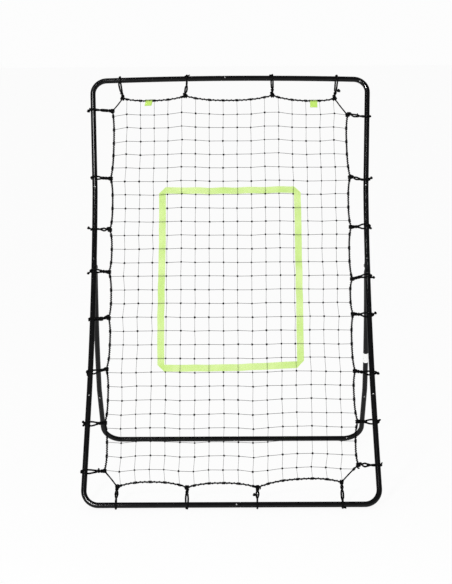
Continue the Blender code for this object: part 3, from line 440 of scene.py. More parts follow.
scratch = bpy.data.collections.new("scratch")
bpy.context.scene.collection.children.link(scratch)


def scratch_object(name, mesh):
    """An object to build with, which is removed again."""
    obj = bpy.data.objects.new(name, mesh)
    scratch.objects.link(obj)
    return obj


def plain_mesh(obj):
    """The object's mesh with its modifiers applied; the object itself is removed."""
    bpy.context.view_layer.update()
    mesh = bpy.data.meshes.new_from_object(obj.evaluated_get(bpy.context.evaluated_depsgraph_get()))
    name = obj.name
    bpy.data.objects.remove(obj, do_unlink=True)
    mesh.name = name
    return mesh


def mesh_from(body, name):
    """The mesh of a bmesh, with its faces turned outwards."""
    bmesh.ops.recalc_face_normals(body, faces=body.faces)
    mesh = bpy.data.meshes.new(name)
    body.to_mesh(mesh)
    body.free()
    return mesh


def finish_piece(name, mesh, material, body=FRONT_BODY, plane=None, added=False, hard_edge=HARD_EDGE):
    """Put a finished mesh in place as one piece that rides on a body.

    It is laid in the body's own plane, or in the one given, and replaces the CAD node of its own
    name, unless it is an added piece.
    """
    mesh.transform(plane or PLANES[body])
    mesh.update()
    mesh.materials.clear()
    mesh.materials.append(material)
    mesh.shade_smooth()
    mesh.set_sharp_from_angle(angle=math.radians(hard_edge))
    piece = bpy.data.objects.new(name, mesh)
    bpy.context.scene.collection.objects.link(piece)
    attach(piece, body)
    if not added:
        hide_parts(name)
    return piece


def thickened(name, mesh, thickness, offset):
    """An object that gives a thin sheet its thickness."""
    obj = scratch_object(name, mesh)
    wall = obj.modifiers.new("wall", "SOLIDIFY")
    wall.thickness = thickness
    wall.offset = offset
    return obj


def turned_mesh(name, profile, sides=TURNED_SIDES):
    """A closed solid turned about Z from a profile of (radius, height) points, top first."""
    body = bmesh.new()
    rings = []
    for radius, height in profile:
        if radius < TINY:
            rings.append([body.verts.new((0.0, 0.0, height))])
        else:
            angles = [FULL_TURN * side / sides for side in range(sides)]
            circle = [(radius * math.cos(a), radius * math.sin(a), height) for a in angles]
            rings.append([body.verts.new(place) for place in circle])
    for upper, lower in zip(rings, rings[1:]):
        for side in range(sides):
            after = (side + 1) % sides
            loop = [upper[side % len(upper)], lower[side % len(lower)]]
            loop += [lower[after % len(lower)], upper[after % len(upper)]]
            corners = list(dict.fromkeys(loop))
            if len(corners) > 2:
                body.faces.new(corners)
    return mesh_from(body, name)


def prism_mesh(name, outline, low, high):
    """A flat outline in X and Y made solid between two heights."""
    body = bmesh.new()
    face = body.faces.new([body.verts.new((x, y, low)) for x, y in outline])
    made = bmesh.ops.extrude_face_region(body, geom=[face])
    raised = [item for item in made["geom"] if isinstance(item, bmesh.types.BMVert)]
    bmesh.ops.translate(body, verts=raised, vec=(0.0, 0.0, high - low))
    return mesh_from(body, name)


def cylinder_mesh(radius, length):
    """A cylinder about Z, centred on the origin, to bore a hole with."""
    half = length / 2.0
    return turned_mesh("cylinder", [(0.0, half), (radius, half), (radius, -half), (0.0, -half)], BORE_SIDES)


def carved(obj, shapes, operation="DIFFERENCE"):
    """An object's mesh without the given (mesh, matrix) shapes, or with only what they share."""
    tools = []
    for mesh, matrix in shapes:
        tool = scratch_object("tool", mesh)
        tool.matrix_world = matrix
        tools.append(tool)
        cut = obj.modifiers.new("cut", "BOOLEAN")
        cut.operation = operation
        cut.solver = "EXACT"
        cut.object = tool
    mesh = plain_mesh(obj)
    for tool in tools:
        bpy.data.objects.remove(tool, do_unlink=True)
    return mesh


def strip_faces(body, grid):
    """The faces of a strip of ribbon, from rows of (place, metres along and across it)."""
    layers = body.loops.layers.uv
    uv_layer = layers.get("UVMap") or layers.new("UVMap")
    rows = [[(body.verts.new(place), measure) for place, measure in row] for row in grid]
    for lower, upper in zip(rows, rows[1:]):
        for cell in range(len(lower) - 1):
            corners = [lower[cell], upper[cell], upper[cell + 1], lower[cell + 1]]
            face = body.faces.new([vertex for vertex, _ in corners])
            for loop, (_, measure) in zip(face.loops, corners):
                loop[uv_layer].uv = measure


# Node trees

class Graph:
    """A node tree under construction."""

    def __init__(self, tree):
        self.tree = tree

    def feed(self, socket, value):
        """Give a socket a node's output or a plain value."""
        if isinstance(value, bpy.types.Node):
            value = value.outputs[0]
        if isinstance(value, bpy.types.NodeSocket):
            self.tree.links.new(value, socket)
        else:
            socket.default_value = value

    def node(self, kind, inputs=None, **settings):
        """Add a node, set its properties, then its inputs by name or position."""
        node = self.tree.nodes.new(kind)
        for key, value in settings.items():
            setattr(node, key, value)
        for socket, value in (inputs or {}).items():
            self.feed(node.inputs[socket], value)
        return node

    def math(self, operation, *values):
        """A Math node on one to three values."""
        return self.node("ShaderNodeMath", dict(enumerate(values)), operation=operation)


class GeometryGraph(Graph):
    """A Geometry Nodes tree with named inputs."""

    def __init__(self, name, **inputs):
        super().__init__(bpy.data.node_groups.new(name, "GeometryNodeTree"))
        sockets = {"Geometry": "Geometry", **inputs, "Material": "Material"}
        for label, kind in sockets.items():
            plain = label.replace("_", " ")
            self.tree.interface.new_socket(plain, in_out="INPUT", socket_type=f"NodeSocket{kind}")
        self.tree.interface.new_socket("Geometry", in_out="OUTPUT", socket_type="NodeSocketGeometry")
        self.input = self.tree.nodes.new("NodeGroupInput").outputs
        self.sink = self.tree.nodes.new("NodeGroupOutput")

    def capture(self, geometry, label, value):
        """Keep a number's value on the geometry; gives the geometry and the kept value."""
        node = self.tree.nodes.new("GeometryNodeCaptureAttribute")
        node.capture_items.new("FLOAT", label)
        self.feed(node.inputs[0], geometry)
        self.feed(node.inputs[1], value)
        return node.outputs[0], node.outputs[1]

    def attribute(self, name, kind):
        """A named attribute of the geometry."""
        return self.node("GeometryNodeInputNamedAttribute", {"Name": name}, data_type=kind)

    def store(self, geometry, name, value, kind, domain):
        """The geometry with a named attribute on it."""
        inputs = {"Geometry": geometry, "Name": name, "Value": value}
        return self.node("GeometryNodeStoreNamedAttribute", inputs, data_type=kind, domain=domain)

    def end(self, geometry):
        """Realize Instances, Set Material, and the way out; gives the finished tree."""
        realized = self.node("GeometryNodeRealizeInstances", {"Geometry": geometry})
        smooth = self.node("GeometryNodeSetShadeSmooth", {"Geometry": realized})
        inputs = {"Geometry": smooth, "Material": self.input["Material"]}
        self.feed(self.sink.inputs[0], self.node("GeometryNodeSetMaterial", inputs))
        return self.tree


def section_tree():
    """Round section along every path of a mesh, with lengths along and round it as its UV map."""
    graph = GeometryGraph("round_section_along_path", Sides="Int", Caps="Bool")
    curve = graph.node("GeometryNodeMeshToCurve", {"Mesh": graph.input["Geometry"]})
    place = graph.node("GeometryNodeSplineParameter")
    path, along = graph.capture(curve, "along", place.outputs["Length"])
    inputs = {"Resolution": graph.input["Sides"], "Radius": 1.0}
    circle = graph.node("GeometryNodeCurvePrimitiveCircle", inputs)
    ring, around = graph.capture(circle, "around", place.outputs["Factor"])
    radius = graph.attribute("section_radius", "FLOAT")
    sweep = graph.node("GeometryNodeCurveToMesh", {
        "Curve": path, "Profile Curve": ring, "Scale": radius, "Fill Caps": graph.input["Caps"],
    })
    # The last face round starts near one and ends at zero, so its zero corners become one
    face_mean = graph.node("GeometryNodeFieldOnDomain", {0: around}, domain="FACE", data_type="FLOAT")
    last_face = graph.node("FunctionNodeCompare", {0: face_mean, 1: 0.3}, operation="GREATER_THAN")
    at_seam = graph.node("FunctionNodeCompare", {0: around, 1: 0.001}, operation="LESS_THAN")
    both = graph.node("FunctionNodeBooleanMath", {0: last_face, 1: at_seam}, operation="AND")
    pattern = graph.node("ShaderNodeCombineXYZ", {"X": along, "Y": graph.math("ADD", around, both)})
    return graph.end(graph.store(sweep, "UVMap", pattern, "FLOAT2", "CORNER"))


def run_tree(name, mesh, group, material, **values):
    """Evaluate a tree on a mesh and give back the plain result."""
    values["Material"] = material
    obj = scratch_object(name, mesh)
    modifier = obj.modifiers.new(group.name, "NODES")
    modifier.node_group = group
    for item in group.interface.items_tree:
        label = item.name.replace(" ", "_")
        if item.in_out == "INPUT" and label in values:
            modifier[item.identifier] = values[label]
    result = plain_mesh(obj)
    if "section_radius" in result.attributes:
        result.attributes.remove(result.attributes["section_radius"])
    return result


def swept_mesh(name, runs, sides, material, caps=True):
    """A round section swept along each run of (points, radius or radii, closed)."""
    vertices, edges, sizes = [], [], []
    for points, radii, closed in runs:
        first = len(vertices)
        vertices += [Vector(point).to_3d() for point in points]
        edges += [(first + step, first + step + 1) for step in range(len(points) - 1)]
        if closed:
            edges.append((first + len(points) - 1, first))
        sizes += [radii] * len(points) if isinstance(radii, float) else radii
    mesh = bpy.data.meshes.new(name)
    mesh.from_pydata(vertices, edges, [])
    mesh.attributes.new("section_radius", "FLOAT", "POINT").data.foreach_set("value", sizes)
    return run_tree(name, mesh, round_section, material, Sides=sides, Caps=caps)


# Finishes

class Finish(Graph):
    """A Principled material, with its constants on the shader's own sockets."""

    def __init__(self, name, colour, roughness, **constants):
        self.material = bpy.data.materials.new(name)
        self.material.use_nodes = True
        self.material.diffuse_color = (*colour, 1.0)
        super().__init__(self.material.node_tree)
        self.shader = self.tree.nodes["Principled BSDF"]
        self.place = self.node("ShaderNodeTexCoord")
        for label, value in {"Base_Color": (*colour, 1.0), "Roughness": roughness, **constants}.items():
            self.feed(self.shader.inputs[label.replace("_", " ")], value)

    def ridges(self, value, count):
        """Even ridges between 0 and 1, so many to each unit of the value."""
        wave = self.math("SINE", self.math("MULTIPLY", value, FULL_TURN * count))
        return self.math("MULTIPLY_ADD", wave, 0.5, 0.5)

    def grain(self, scale, detail=2.0, stretch=(1.0, 1.0, 1.0)):
        """Noise on the object's own coordinates."""
        mapping = self.node("ShaderNodeMapping", {"Vector": self.place.outputs["Object"], "Scale": stretch})
        inputs = {"Vector": mapping, "Scale": scale, "Detail": detail}
        return self.node("ShaderNodeTexNoise", inputs).outputs["Fac"]

    def colour_from(self, value, shades, low=0.3, high=0.7):
        """Colour between two shades, reached at the low and the high value."""
        gradient = self.node("ShaderNodeValToRGB", {"Fac": value})
        for stop, position, shade in zip(gradient.color_ramp.elements, (low, high), shades):
            stop.position = position
            stop.color = (*shade, 1.0)
        self.feed(self.shader.inputs["Base Color"], gradient)

    def roughness_from(self, value, low, high):
        """Roughness between two values."""
        spread = self.node("ShaderNodeMapRange", {"Value": value, "To Min": low, "To Max": high})
        self.feed(self.shader.inputs["Roughness"], spread)

    def relief(self, height, distance, strength=1.0):
        """Add a bump; later ones lie on the earlier ones."""
        raised = self.node("ShaderNodeBump", {"Height": height, "Distance": distance, "Strength": strength})
        normal = self.shader.inputs["Normal"]
        if normal.is_linked:
            self.feed(raised.inputs["Normal"], normal.links[0].from_socket)
        self.feed(normal, raised)

    def along_and_round(self):
        """The two UV values: metres along a cord or ribbon, and turns round or metres across it."""
        split = self.node("ShaderNodeSeparateXYZ", {"Vector": self.place.outputs["UV"]})
        return split.outputs["X"], split.outputs["Y"]

    def lay(self, pitch, strands):
        """Strands that wind round a cord: ridges between 0 and 1, one full turn in each pitch."""
        along, around = self.along_and_round()
        turns = self.math("ADD", self.math("DIVIDE", along, pitch), around)
        return self.ridges(turns, strands)


def powder_coat():
    """Black powder coat: faint orange peel, soft uneven gloss."""
    coat = Finish("black_powder_coat", (0.004, 0.004, 0.0045), 0.16)
    coat.colour_from(coat.grain(scale=45.0), COAT_SHADES)
    coat.roughness_from(coat.grain(scale=18.0), low=0.11, high=0.14)
    coat.relief(coat.grain(scale=900.0, detail=1.0), distance=0.0000008, strength=0.5)
    return coat.material


def brushed_steel(name, colour, shades, roughness, least, most):
    """Metal with a fine uneven brush, its roughness between two values."""
    steel = Finish(name, colour, roughness, Metallic=1.0)
    brush = steel.grain(scale=2500.0, detail=1.0, stretch=(1.0, 6.0, 1.0))
    steel.colour_from(steel.grain(scale=320.0), shades)
    steel.roughness_from(steel.grain(scale=700.0, detail=3.0), least, most)
    steel.relief(brush, distance=0.00003, strength=0.4)
    return steel.material


def braided_cord(name, shades, pitch, roughness):
    """A braid: two families of four strands that wind round opposite ways, with painted shade in the
    grooves between the strands.
    """
    cord = Finish(name, shades[1], roughness, Specular_IOR_Level=0.12)
    crown = cord.math("MAXIMUM", cord.lay(pitch, strands=4.0), cord.lay(-pitch, strands=4.0))
    # painted shade and sheen: the colour is darker in the grooves between strands and lighter on their
    # crowns
    cord.colour_from(crown, shades, low=0.2, high=0.9)
    cord.roughness_from(cord.grain(scale=900.0), low=roughness - 0.1, high=roughness + 0.1)
    cord.relief(crown, distance=0.0003)
    return cord.material


def twisted_twine():
    """Twine of three strands laid up one way, with fine loose fibres, and painted shade in the grooves
    between the strands.
    """
    twine = Finish("black_net_twine", TWINE_SHADES[1], 0.7, Specular_IOR_Level=0.15)
    strands = twine.lay(pitch=0.004, strands=3.0)
    # painted shade and sheen: the colour is darker between the strands and lighter on them
    twine.colour_from(strands, TWINE_SHADES, low=0.1, high=0.8)
    twine.relief(strands, distance=0.00015)
    twine.relief(twine.grain(scale=4000.0), distance=0.00006)
    return twine.material


def woven_ribbon(name, shades, **constants):
    """Fluorescent woven ribbon, finely ribbed, its UV map in metres, with a painted glow for its
    fluorescence and painted shade between its threads.
    """
    # painted glow: emission in the ribbon's light green, so it shines brighter than its lamps make it
    painted_glow = {"Emission_Color": (*shades[1], 1.0), "Emission_Strength": 0.08}
    ribbon = Finish(name, shades[1], 0.62, Specular_IOR_Level=0.25, **painted_glow, **constants)
    along, across = ribbon.along_and_round()
    ribs, threads = ribbon.ridges(along, 1.0 / RIB_PITCH), ribbon.ridges(across, 1.0 / THREAD_SPACING)
    weave = ribbon.math("MULTIPLY", ribs, threads)
    stain = ribbon.math("MULTIPLY", ribbon.grain(scale=14.0, detail=3.0), STAIN_SHARE)
    pattern = ribbon.math("MULTIPLY_ADD", weave, WEAVE_SHARE, stain)
    # painted shade: the colour darkens where the weave lies low between the threads, on top of random stain
    ribbon.colour_from(pattern, shades, low=0.22, high=0.62)
    ribbon.relief(weave, distance=0.00004)
    return ribbon.material


def label_film():
    """White sleeve film with faint wrinkles, and a painted glow: white emission that makes it brighter than
    its lighting.
    """
    # painted glow: the film emits white light of its own, so it reads brighter than its lamps make it
    painted_glow = {"Emission_Color": WHITE, "Emission_Strength": 0.24}
    film = Finish("white_label_film", (0.97, 0.97, 0.965), 0.36, **painted_glow)
    wrinkles = film.grain(scale=120.0, detail=3.0, stretch=(1.0, 1.0, 0.25))
    film.colour_from(film.grain(scale=90.0), FILM_SHADES)
    film.relief(wrinkles, distance=0.0003, strength=0.5)
    return film.material


# Frame tubes

def with_insert(path, radii):
    """Swap a path's last two points, mouth and insert tip, for a shoulder and the insert."""
    mouth, tip = path[-2], path[-1]
    along = (tip - mouth).normalized()
    inward = (path[-3] - mouth).normalized()
    body_end = mouth + inward * (SHOULDER_LENGTH + GAP)
    insert_start = mouth + inward * GAP
    return (
        path[:-2] + [body_end, insert_start, mouth + along * INSERT_LENGTH],
        radii[:-2] + [TUBE_R, INSERT_R, INSERT_R],
    )


def with_rings(path, radii):
    """Put more points in long straight stretches, so that the coat shades evenly near holes."""
    points, sizes = [path[0]], [radii[0]]
    for here, there, size, next_size in zip(path, path[1:], radii, radii[1:]):
        parts = max(1, math.ceil((there - here).length / TUBE_RING_STEP))
        for part in range(1, parts + 1):
            share = part / parts
            points.append(here.lerp(there, share))
            sizes.append(size + (next_size - size) * share)
    return points, sizes


def frame_tube(name, points, holes, body=FRONT_BODY, male_start=False, male_end=False, press=None):
    """One hollow tube section, with its insert, its button holes and its bolt holes."""
    path = [Vector(point) for point in points]
    radii = [TUBE_R] * len(path)
    if male_end:
        path, radii = with_insert(path, radii)
    if male_start:
        path, radii = with_insert(path[::-1], radii[::-1])
        path, radii = path[::-1], radii[::-1]
    path, radii = with_rings(path, radii)
    mesh = swept_mesh(name, [(path, radii, False)], TUBE_SIDES, powder, caps=False)
    if press:
        press(mesh)
    mesh = carved(thickened(name, mesh, TUBE_WALL, -1.0), holes)
    finish_piece(name, mesh, powder, body)


def flatten_leg_top(mesh):
    """Press the top of a leg tube flat, across X, where it runs between the bracket's ears."""
    far, near = FLAT_TRANSITION[-1], FLAT_TRANSITION[0]
    for vertex in mesh.vertices:
        below_pivot = LEG_LENGTH - vertex.co.y
        share = smooth_share((far - below_pivot) / (far - near))
        middle = math.copysign(leg_half_width(vertex.co.y), vertex.co.x)
        offset = vertex.co.x - middle
        pressed = min(max(offset, -FLAT_WIDTH / 2.0), FLAT_WIDTH / 2.0)
        vertex.co.x = middle + offset + (pressed - offset) * share
        vertex.co.z *= 1.0 + (FLAT_DEPTH / (2.0 * TUBE_R) - 1.0) * share


def joints_of_frames():
    """Places of the seams, and the way each insert points, on the right side."""
    seams = {
        "lower": (side_half_width, LOWER_SEAM, (side_half_width(0.0), 0.0)),
        "upper": (side_half_width, UPPER_SEAM, (FRAME_HALF_WIDTH, FRAME_LENGTH)),
        "stand": (leg_half_width, STAND_CORNER_LEG, (STAND_HALF_WIDTH, 0.0)),
    }
    joints = {}
    for name, (half_width, along, corner) in seams.items():
        place = Vector((half_width(along), along))
        joints[name] = (place, (Vector(corner) - place).normalized())
    return joints


def button_places():
    """Each snap button's place in its plane, and the way its clip points."""
    joints = joints_of_frames()
    setbacks = {"lower": BUTTON_SETBACK, "upper": BUTTON_SETBACK, "stand": STAND_BUTTON_SETBACK}
    places = {}
    for side, flip in (("left", Vector((-1.0, 1.0))), ("right", Vector((1.0, 1.0)))):
        for level, setback in setbacks.items():
            joint, way = joints[level]
            places[f"{side}_{level}"] = ((joint + way * setback) * flip, way * flip)
    leftwards, rightwards = Vector((-1.0, 0.0)), Vector((1.0, 0.0))
    places["bottom"] = (Vector((BOTTOM_SEAM_X - BUTTON_SETBACK, 0.0)), leftwards)
    places["top"] = (Vector(top_point(TOP_SEAM_X + BUTTON_SETBACK)), rightwards)
    places["rear"] = (Vector((REAR_SEAM_X - BUTTON_SETBACK, 0.0)), leftwards)
    return places


def build_tubes(buttons):
    """The ten tube sections."""
    joints = joints_of_frames()
    tips = {level: tuple(place + way * INSERT_LENGTH) for level, (place, way) in joints.items()}
    button_bore = cylinder_mesh(HOLE_R, 2.0 * TUBE_R)
    bolt_bore, pivot_bore = [cylinder_mesh(SHANK_HOLE_R, 4.0 * size) for size in (TUBE_R, EAR_OUTER)]
    across = Matrix.Rotation(QUARTER_TURN, 4, "Y")

    def holes(*names):
        return [(button_bore, Matrix.Translation((*buttons[name][0], TUBE_R))) for name in names]

    def bolt_place(sign, height):
        return Matrix.Translation((sign * side_half_width(HINGE_HEIGHT), height, 0.0))

    def straight(level, half_width, run):
        return [tips[level], joints[level][0], *[(half_width(place), place) for place in run]]

    def corner_pair(end, seam, corner_x, radius, level, body):
        bend = rounded_corner((0.0, 0.0), (corner_x, 0.0), joints[level][0], radius)
        left, right = holes(end, f"left_{level}"), holes(end, f"right_{level}")
        frame_tube(f"{end}_left_corner_tube", [(seam, 0.0), *mirrored(bend)], left, body)
        inserted = [(seam - INSERT_LENGTH, 0.0), (seam, 0.0), *bend]
        frame_tube(f"{end}_right_corner_tube", inserted, right, body, male_start=True)

    corner_pair("bottom", BOTTOM_SEAM_X, FRAME_HALF_WIDTH, FRONT_BEND, "lower", FRONT_BODY)
    crown = [top_point(share * FRAME_HALF_WIDTH) for share in CROWN_SHARES]
    top_corner = top_point(FRAME_HALF_WIDTH)
    top = [*crown, *rounded_corner(crown[-1], top_corner, joints["upper"][0], FRONT_BEND)]
    path = [top_point(TOP_SEAM_X), top_point(0.0), *top]
    frame_tube("top_right_corner_tube", path, holes("top", "right_upper"))
    path = [top_point(TOP_SEAM_X + INSERT_LENGTH), top_point(TOP_SEAM_X), *mirrored(top)]
    frame_tube("top_left_corner_tube", path, holes("top", "left_upper"), male_start=True)
    run = evenly(LOWER_SEAM, UPPER_SEAM, STRAIGHT_STEPS)
    path = [*straight("lower", side_half_width, run), tips["upper"]]
    for side, sign in SIDES:
        through = holes(f"{side}_lower", f"{side}_upper")
        through.append((bolt_bore, bolt_place(sign, HINGE_HEIGHT + BOLT_RISE)))
        points = path if side == "right" else mirrored(path)
        frame_tube(f"{side}_side_tube", points, through, male_start=True, male_end=True)

    corner_pair("rear", REAR_SEAM_X, STAND_HALF_WIDTH, REAR_BEND, "stand", STAND_BODY)
    run = evenly(STAND_CORNER_LEG, LEG_LENGTH - FLAT_TRANSITION[-1], LEG_STEPS)
    run += evenly(LEG_LENGTH - FLAT_TRANSITION[-1], LEG_LENGTH - FLAT_TRANSITION[0], FLAT_STEPS)
    path = straight("stand", leg_half_width, [*run, LEG_LENGTH, LEG_LENGTH + FLAT_END])
    for side, sign in SIDES:
        through = [*holes(f"{side}_stand"), (pivot_bore, bolt_place(sign, LEG_LENGTH) @ across)]
        points = path if side == "right" else mirrored(path)
        name = f"{side}_rear_leg_tube"
        frame_tube(name, points, through, STAND_BODY, male_start=True, press=flatten_leg_top)


def build_label():
    """A sleeve of white film round the right rear leg."""
    places = [LABEL_START, *evenly(LABEL_START, LABEL_START + LABEL_LENGTH, LABEL_STEPS)]
    path = [(leg_half_width(s), s) for s in places]
    run = (path, TUBE_R + GAP + LABEL_THICKNESS, False)
    mesh = swept_mesh("label_band", [run], LABEL_SIDES, film, caps=False)
    mesh = plain_mesh(thickened("label_band", mesh, LABEL_THICKNESS, -1.0))
    finish_piece("label_band", mesh, film, STAND_BODY)


# Snap buttons and fold hinge

def dome(radius, base, height):
    """Profile points of a dome, from its top down to its base."""
    angles = [0.0, *evenly(0.0, QUARTER_TURN, DOME_STEPS)]
    return [(radius * math.sin(a), base + height * math.cos(a)) for a in angles]


def build_buttons(buttons):
    """Nine sprung clips, each with its domed button."""
    middle = (CLIP_TOP + CLIP_BACK) / 2.0
    outer = (CLIP_TOP - CLIP_BACK) / 2.0
    angles = [QUARTER_TURN - math.pi * step / CLIP_TURN_STEPS for step in range(CLIP_TURN_STEPS + 1)]

    def turn(radius):
        return [(CLIP_LENGTH + radius * math.cos(a), middle + radius * math.sin(a)) for a in angles]

    outline = [(-CLIP_TAIL, CLIP_TOP), *turn(outer), (BUTTON_R, CLIP_BACK)]
    outline += [(BUTTON_R, CLIP_BACK + CLIP_THICKNESS), *turn(outer - CLIP_THICKNESS)[::-1]]
    outline += [(-CLIP_TAIL, CLIP_TOP - CLIP_THICKNESS)]
    foot = CLIP_TOP - CLIP_THICKNESS / 2.0
    rise = BUTTON_PROUD * NIB_DOME_SHARE
    profile = [*dome(BUTTON_R, TUBE_R + BUTTON_PROUD - rise, rise), (BUTTON_R, foot), (0.0, foot)]
    for name, (place, way) in buttons.items():
        node = f"{name}_snap_button"
        clip = prism_mesh("clip", outline, -BUTTON_R, BUTTON_R)
        clip.transform(Matrix.Rotation(QUARTER_TURN, 4, "X"))
        body = bmesh.new()
        body.from_mesh(clip)
        body.from_mesh(turned_mesh("nib", profile))
        mesh = mesh_from(body, node)
        heading = Matrix.Rotation(math.atan2(way.y, way.x), 4, "Z")
        mesh.transform(Matrix.Translation((*place, 0.0)) @ heading)
        on_stand = name in ("rear", "left_stand", "right_stand")
        finish_piece(node, mesh, zinc, node, STAND if on_stand else FRONT)


def hexagon_nut(height):
    """A hexagon nut about Z with chamfered corners and its bore."""
    angles = [FULL_TURN * side / 6.0 for side in range(6)]
    corners = [(NUT_CORNER_R * math.cos(a), NUT_CORNER_R * math.sin(a)) for a in angles]
    half = height / 2.0
    top, corner = NUT_ACROSS_FLATS / 2.0 * NUT_FACE_SHARE, NUT_CORNER_R * CHAMFER_REACH
    cone = [(0.0, half), (top, half), (corner, half - NUT_CHAMFER)]
    cone += [(radius, -rise) for radius, rise in cone[::-1]]
    chamfered = carved(
        scratch_object("nut", prism_mesh("nut", corners, -half, half)),
        [(turned_mesh("cone", cone, CHAMFER_SIDES), Matrix.Identity(4))], "INTERSECT",
    )
    bore = cylinder_mesh(SHANK_HOLE_R, 2.0 * height)
    return carved(scratch_object("nut", chamfered), [(bore, Matrix.Identity(4))])


def bracket_mesh():
    """A folded steel channel, its ears round the pivot behind and its web against the tube."""
    low, high = -BRACKET_OVERLAP, BOLT_RISE + BRACKET_TOP
    outline = [(WEB_FRONT, low), (HINGE_SETBACK, low)]
    for angle in evenly(-QUARTER_TURN, QUARTER_TURN, BRACKET_ROUND_STEPS):
        round_x = HINGE_SETBACK + BRACKET_OVERLAP * math.cos(angle)
        outline.append((round_x, BRACKET_OVERLAP * math.sin(angle)))
    outline += [(WEB_BACK + BRACKET_TOP, high), (WEB_FRONT, high)]
    mesh = prism_mesh("bracket", outline, -EAR_OUTER, EAR_OUTER)
    mesh.transform(X_TO_BACK)
    floor, ceiling = low - CUT_MARGIN, high + CUT_MARGIN
    inside = [(-EAR_INNER, floor), (EAR_INNER, floor), (EAR_INNER, ceiling), (-EAR_INNER, ceiling)]
    channel = prism_mesh("channel", inside, -HINGE_SETBACK - BRACKET_OVERLAP - CUT_MARGIN, -WEB_BACK)
    bolt_bore = cylinder_mesh(SHANK_HOLE_R, 2.0 * (WEB_BACK + CUT_MARGIN))
    pivot_bore = cylinder_mesh(SHANK_HOLE_R, 4.0 * EAR_OUTER)
    across = Matrix.Translation((0.0, 0.0, -HINGE_SETBACK)) @ Matrix.Rotation(QUARTER_TURN, 4, "Y")
    mesh = carved(scratch_object("bracket", mesh), [
        (channel, Matrix.Identity(4)), (bolt_bore, Matrix.Translation((0.0, BOLT_RISE, 0.0))),
        (pivot_bore, across),
    ])
    softened = scratch_object("softened", mesh)
    edge = softened.modifiers.new("edge", "BEVEL")
    edge.width = BRACKET_EDGE
    edge.segments = 2
    edge.limit_method = "ANGLE"
    edge.angle_limit = math.radians(BRACKET_EDGE_ANGLE)
    return plain_mesh(softened)


def bolt_head(radius, seat, height, rim):
    """Profile points of a domed head above its seat, down to the shank."""
    return [*dome(radius, seat + rim, height - rim), (radius, seat), (SHANK_R, seat)]


def threaded_end(tip):
    """Profile points of a bolt's thread, down to its tip."""
    points = [(0.0, -tip), (SHANK_R - THREAD_TIP_INSET, -tip)]
    height = -tip + THREAD_TIP
    while height < THREAD_LENGTH - tip:
        crest, root = height + THREAD_PITCH * 0.25, height + THREAD_PITCH * 0.75
        points += [(SHANK_R, crest), (SHANK_R - THREAD_DEPTH, root)]
        height += THREAD_PITCH
    return points[::-1]


def build_hinge(side, sign):
    """Bracket, bracket bolt and nut, and pivot bolt and nut of one side."""
    place = Matrix.Translation((sign * side_half_width(HINGE_HEIGHT), HINGE_HEIGHT, 0.0))
    bolt_axis = place @ Matrix.Translation((0.0, BOLT_RISE, 0.0))
    outwards = Matrix.Rotation(sign * QUARTER_TURN, 4, "Y")
    pivot_axis = place @ Matrix.Translation((0.0, 0.0, -HINGE_SETBACK)) @ outwards
    seat = EAR_OUTER + GAP
    end = seat + PIVOT_HEAD_HEIGHT
    bolt = bolt_head(BOLT_HEAD_R, TUBE_R + GAP, BOLT_HEAD_HEIGHT, BOLT_HEAD_RIM)
    bolt += threaded_end(NUT_BACK + THREAD_END)
    pivot = bolt_head(PIVOT_HEAD_R, seat, PIVOT_HEAD_HEIGHT, PIVOT_HEAD_RIM)
    pivot += [(SHANK_R, THREAD_DEPTH - end), (SHANK_R - THREAD_DEPTH, -end), (0.0, -end)]
    nut_depth, pivot_nut_depth = NUT_FRONT + NUT_HEIGHT / 2.0, seat + PIVOT_HEAD_HEIGHT / 2.0
    for piece, mesh, axis, depth, finish, slot in (
        ("fold_bracket", bracket_mesh(), place, 0.0, powder, "bracket"),
        ("bracket_bolt", turned_mesh("bolt", bolt), bolt_axis, 0.0, oxide, "fastener"),
        ("bracket_nut", hexagon_nut(NUT_HEIGHT), bolt_axis, nut_depth, zinc, "fastener"),
        ("pivot_bolt", turned_mesh("pivot", pivot), pivot_axis, 0.0, zinc, "fastener"),
        ("pivot_nut", hexagon_nut(PIVOT_HEAD_HEIGHT), pivot_axis, pivot_nut_depth, zinc, "fastener"),
    ):
        mesh.transform(axis @ Matrix.Translation((0.0, 0.0, -depth)))
        finish_piece(f"{side}_{piece}", mesh, finish)


# Border rope

class Tie:
    """Where one lashing goes round the tube and round the rope, in the front plane."""

    def __init__(self, name, tube, rope, inward):
        self.name = name
        self.side = name.split("_")[0]
        self.tube = Vector(tube).to_3d()
        self.rope = Vector(rope).to_3d()
        self.inward = Vector(inward).to_3d()
        self.along = Vector((abs(inward[1]), abs(inward[0]), 0.0))
        self.rope_way = None


def all_ties():
    """The 24 lashings in order round the frame, starting at the lower left."""
    sides = {
        "left": (LEFT_LASHINGS, FRAME_LENGTH, lambda s: (-side_half_width(s), s), (1.0, 0.0)),
        "top": (TOP_LASHINGS, FRAME_HALF_WIDTH, top_point, (0.0, -1.0)),
        "right": (RIGHT_LASHINGS, FRAME_LENGTH, lambda s: (side_half_width(s), s), (-1.0, 0.0)),
        "bottom": (BOTTOM_LASHINGS, FRAME_HALF_WIDTH, lambda x: (x, 0.0), (0.0, 1.0)),
    }
    ties = []
    for side, (lashings, size, edge, inward) in sides.items():
        row = []
        for count, (tube_share, rope_share, inset) in enumerate(lashings, 1):
            rope = Vector(edge(rope_share * size)) + Vector(inward) * inset
            row.append(Tie(f"{side}_lashing_{count}", edge(tube_share * size), rope, inward))
        ties += row if side in ("left", "top") else row[::-1]
    return ties


def scallop(here, there):
    """How deep the rope hangs in between two lashings, and how full its curve is."""
    if here.side != there.side:
        return CORNER_SAG, CORNER_FULLNESS
    gap = min(int(here.name[-1]), int(there.name[-1])) - 1
    if here.side in ("left", "right"):
        return SIDE_SCALLOPS[gap], SIDE_FULLNESS
    return (TOP_SCALLOPS if here.side == "top" else BOTTOM_SCALLOPS)[gap], END_FULLNESS


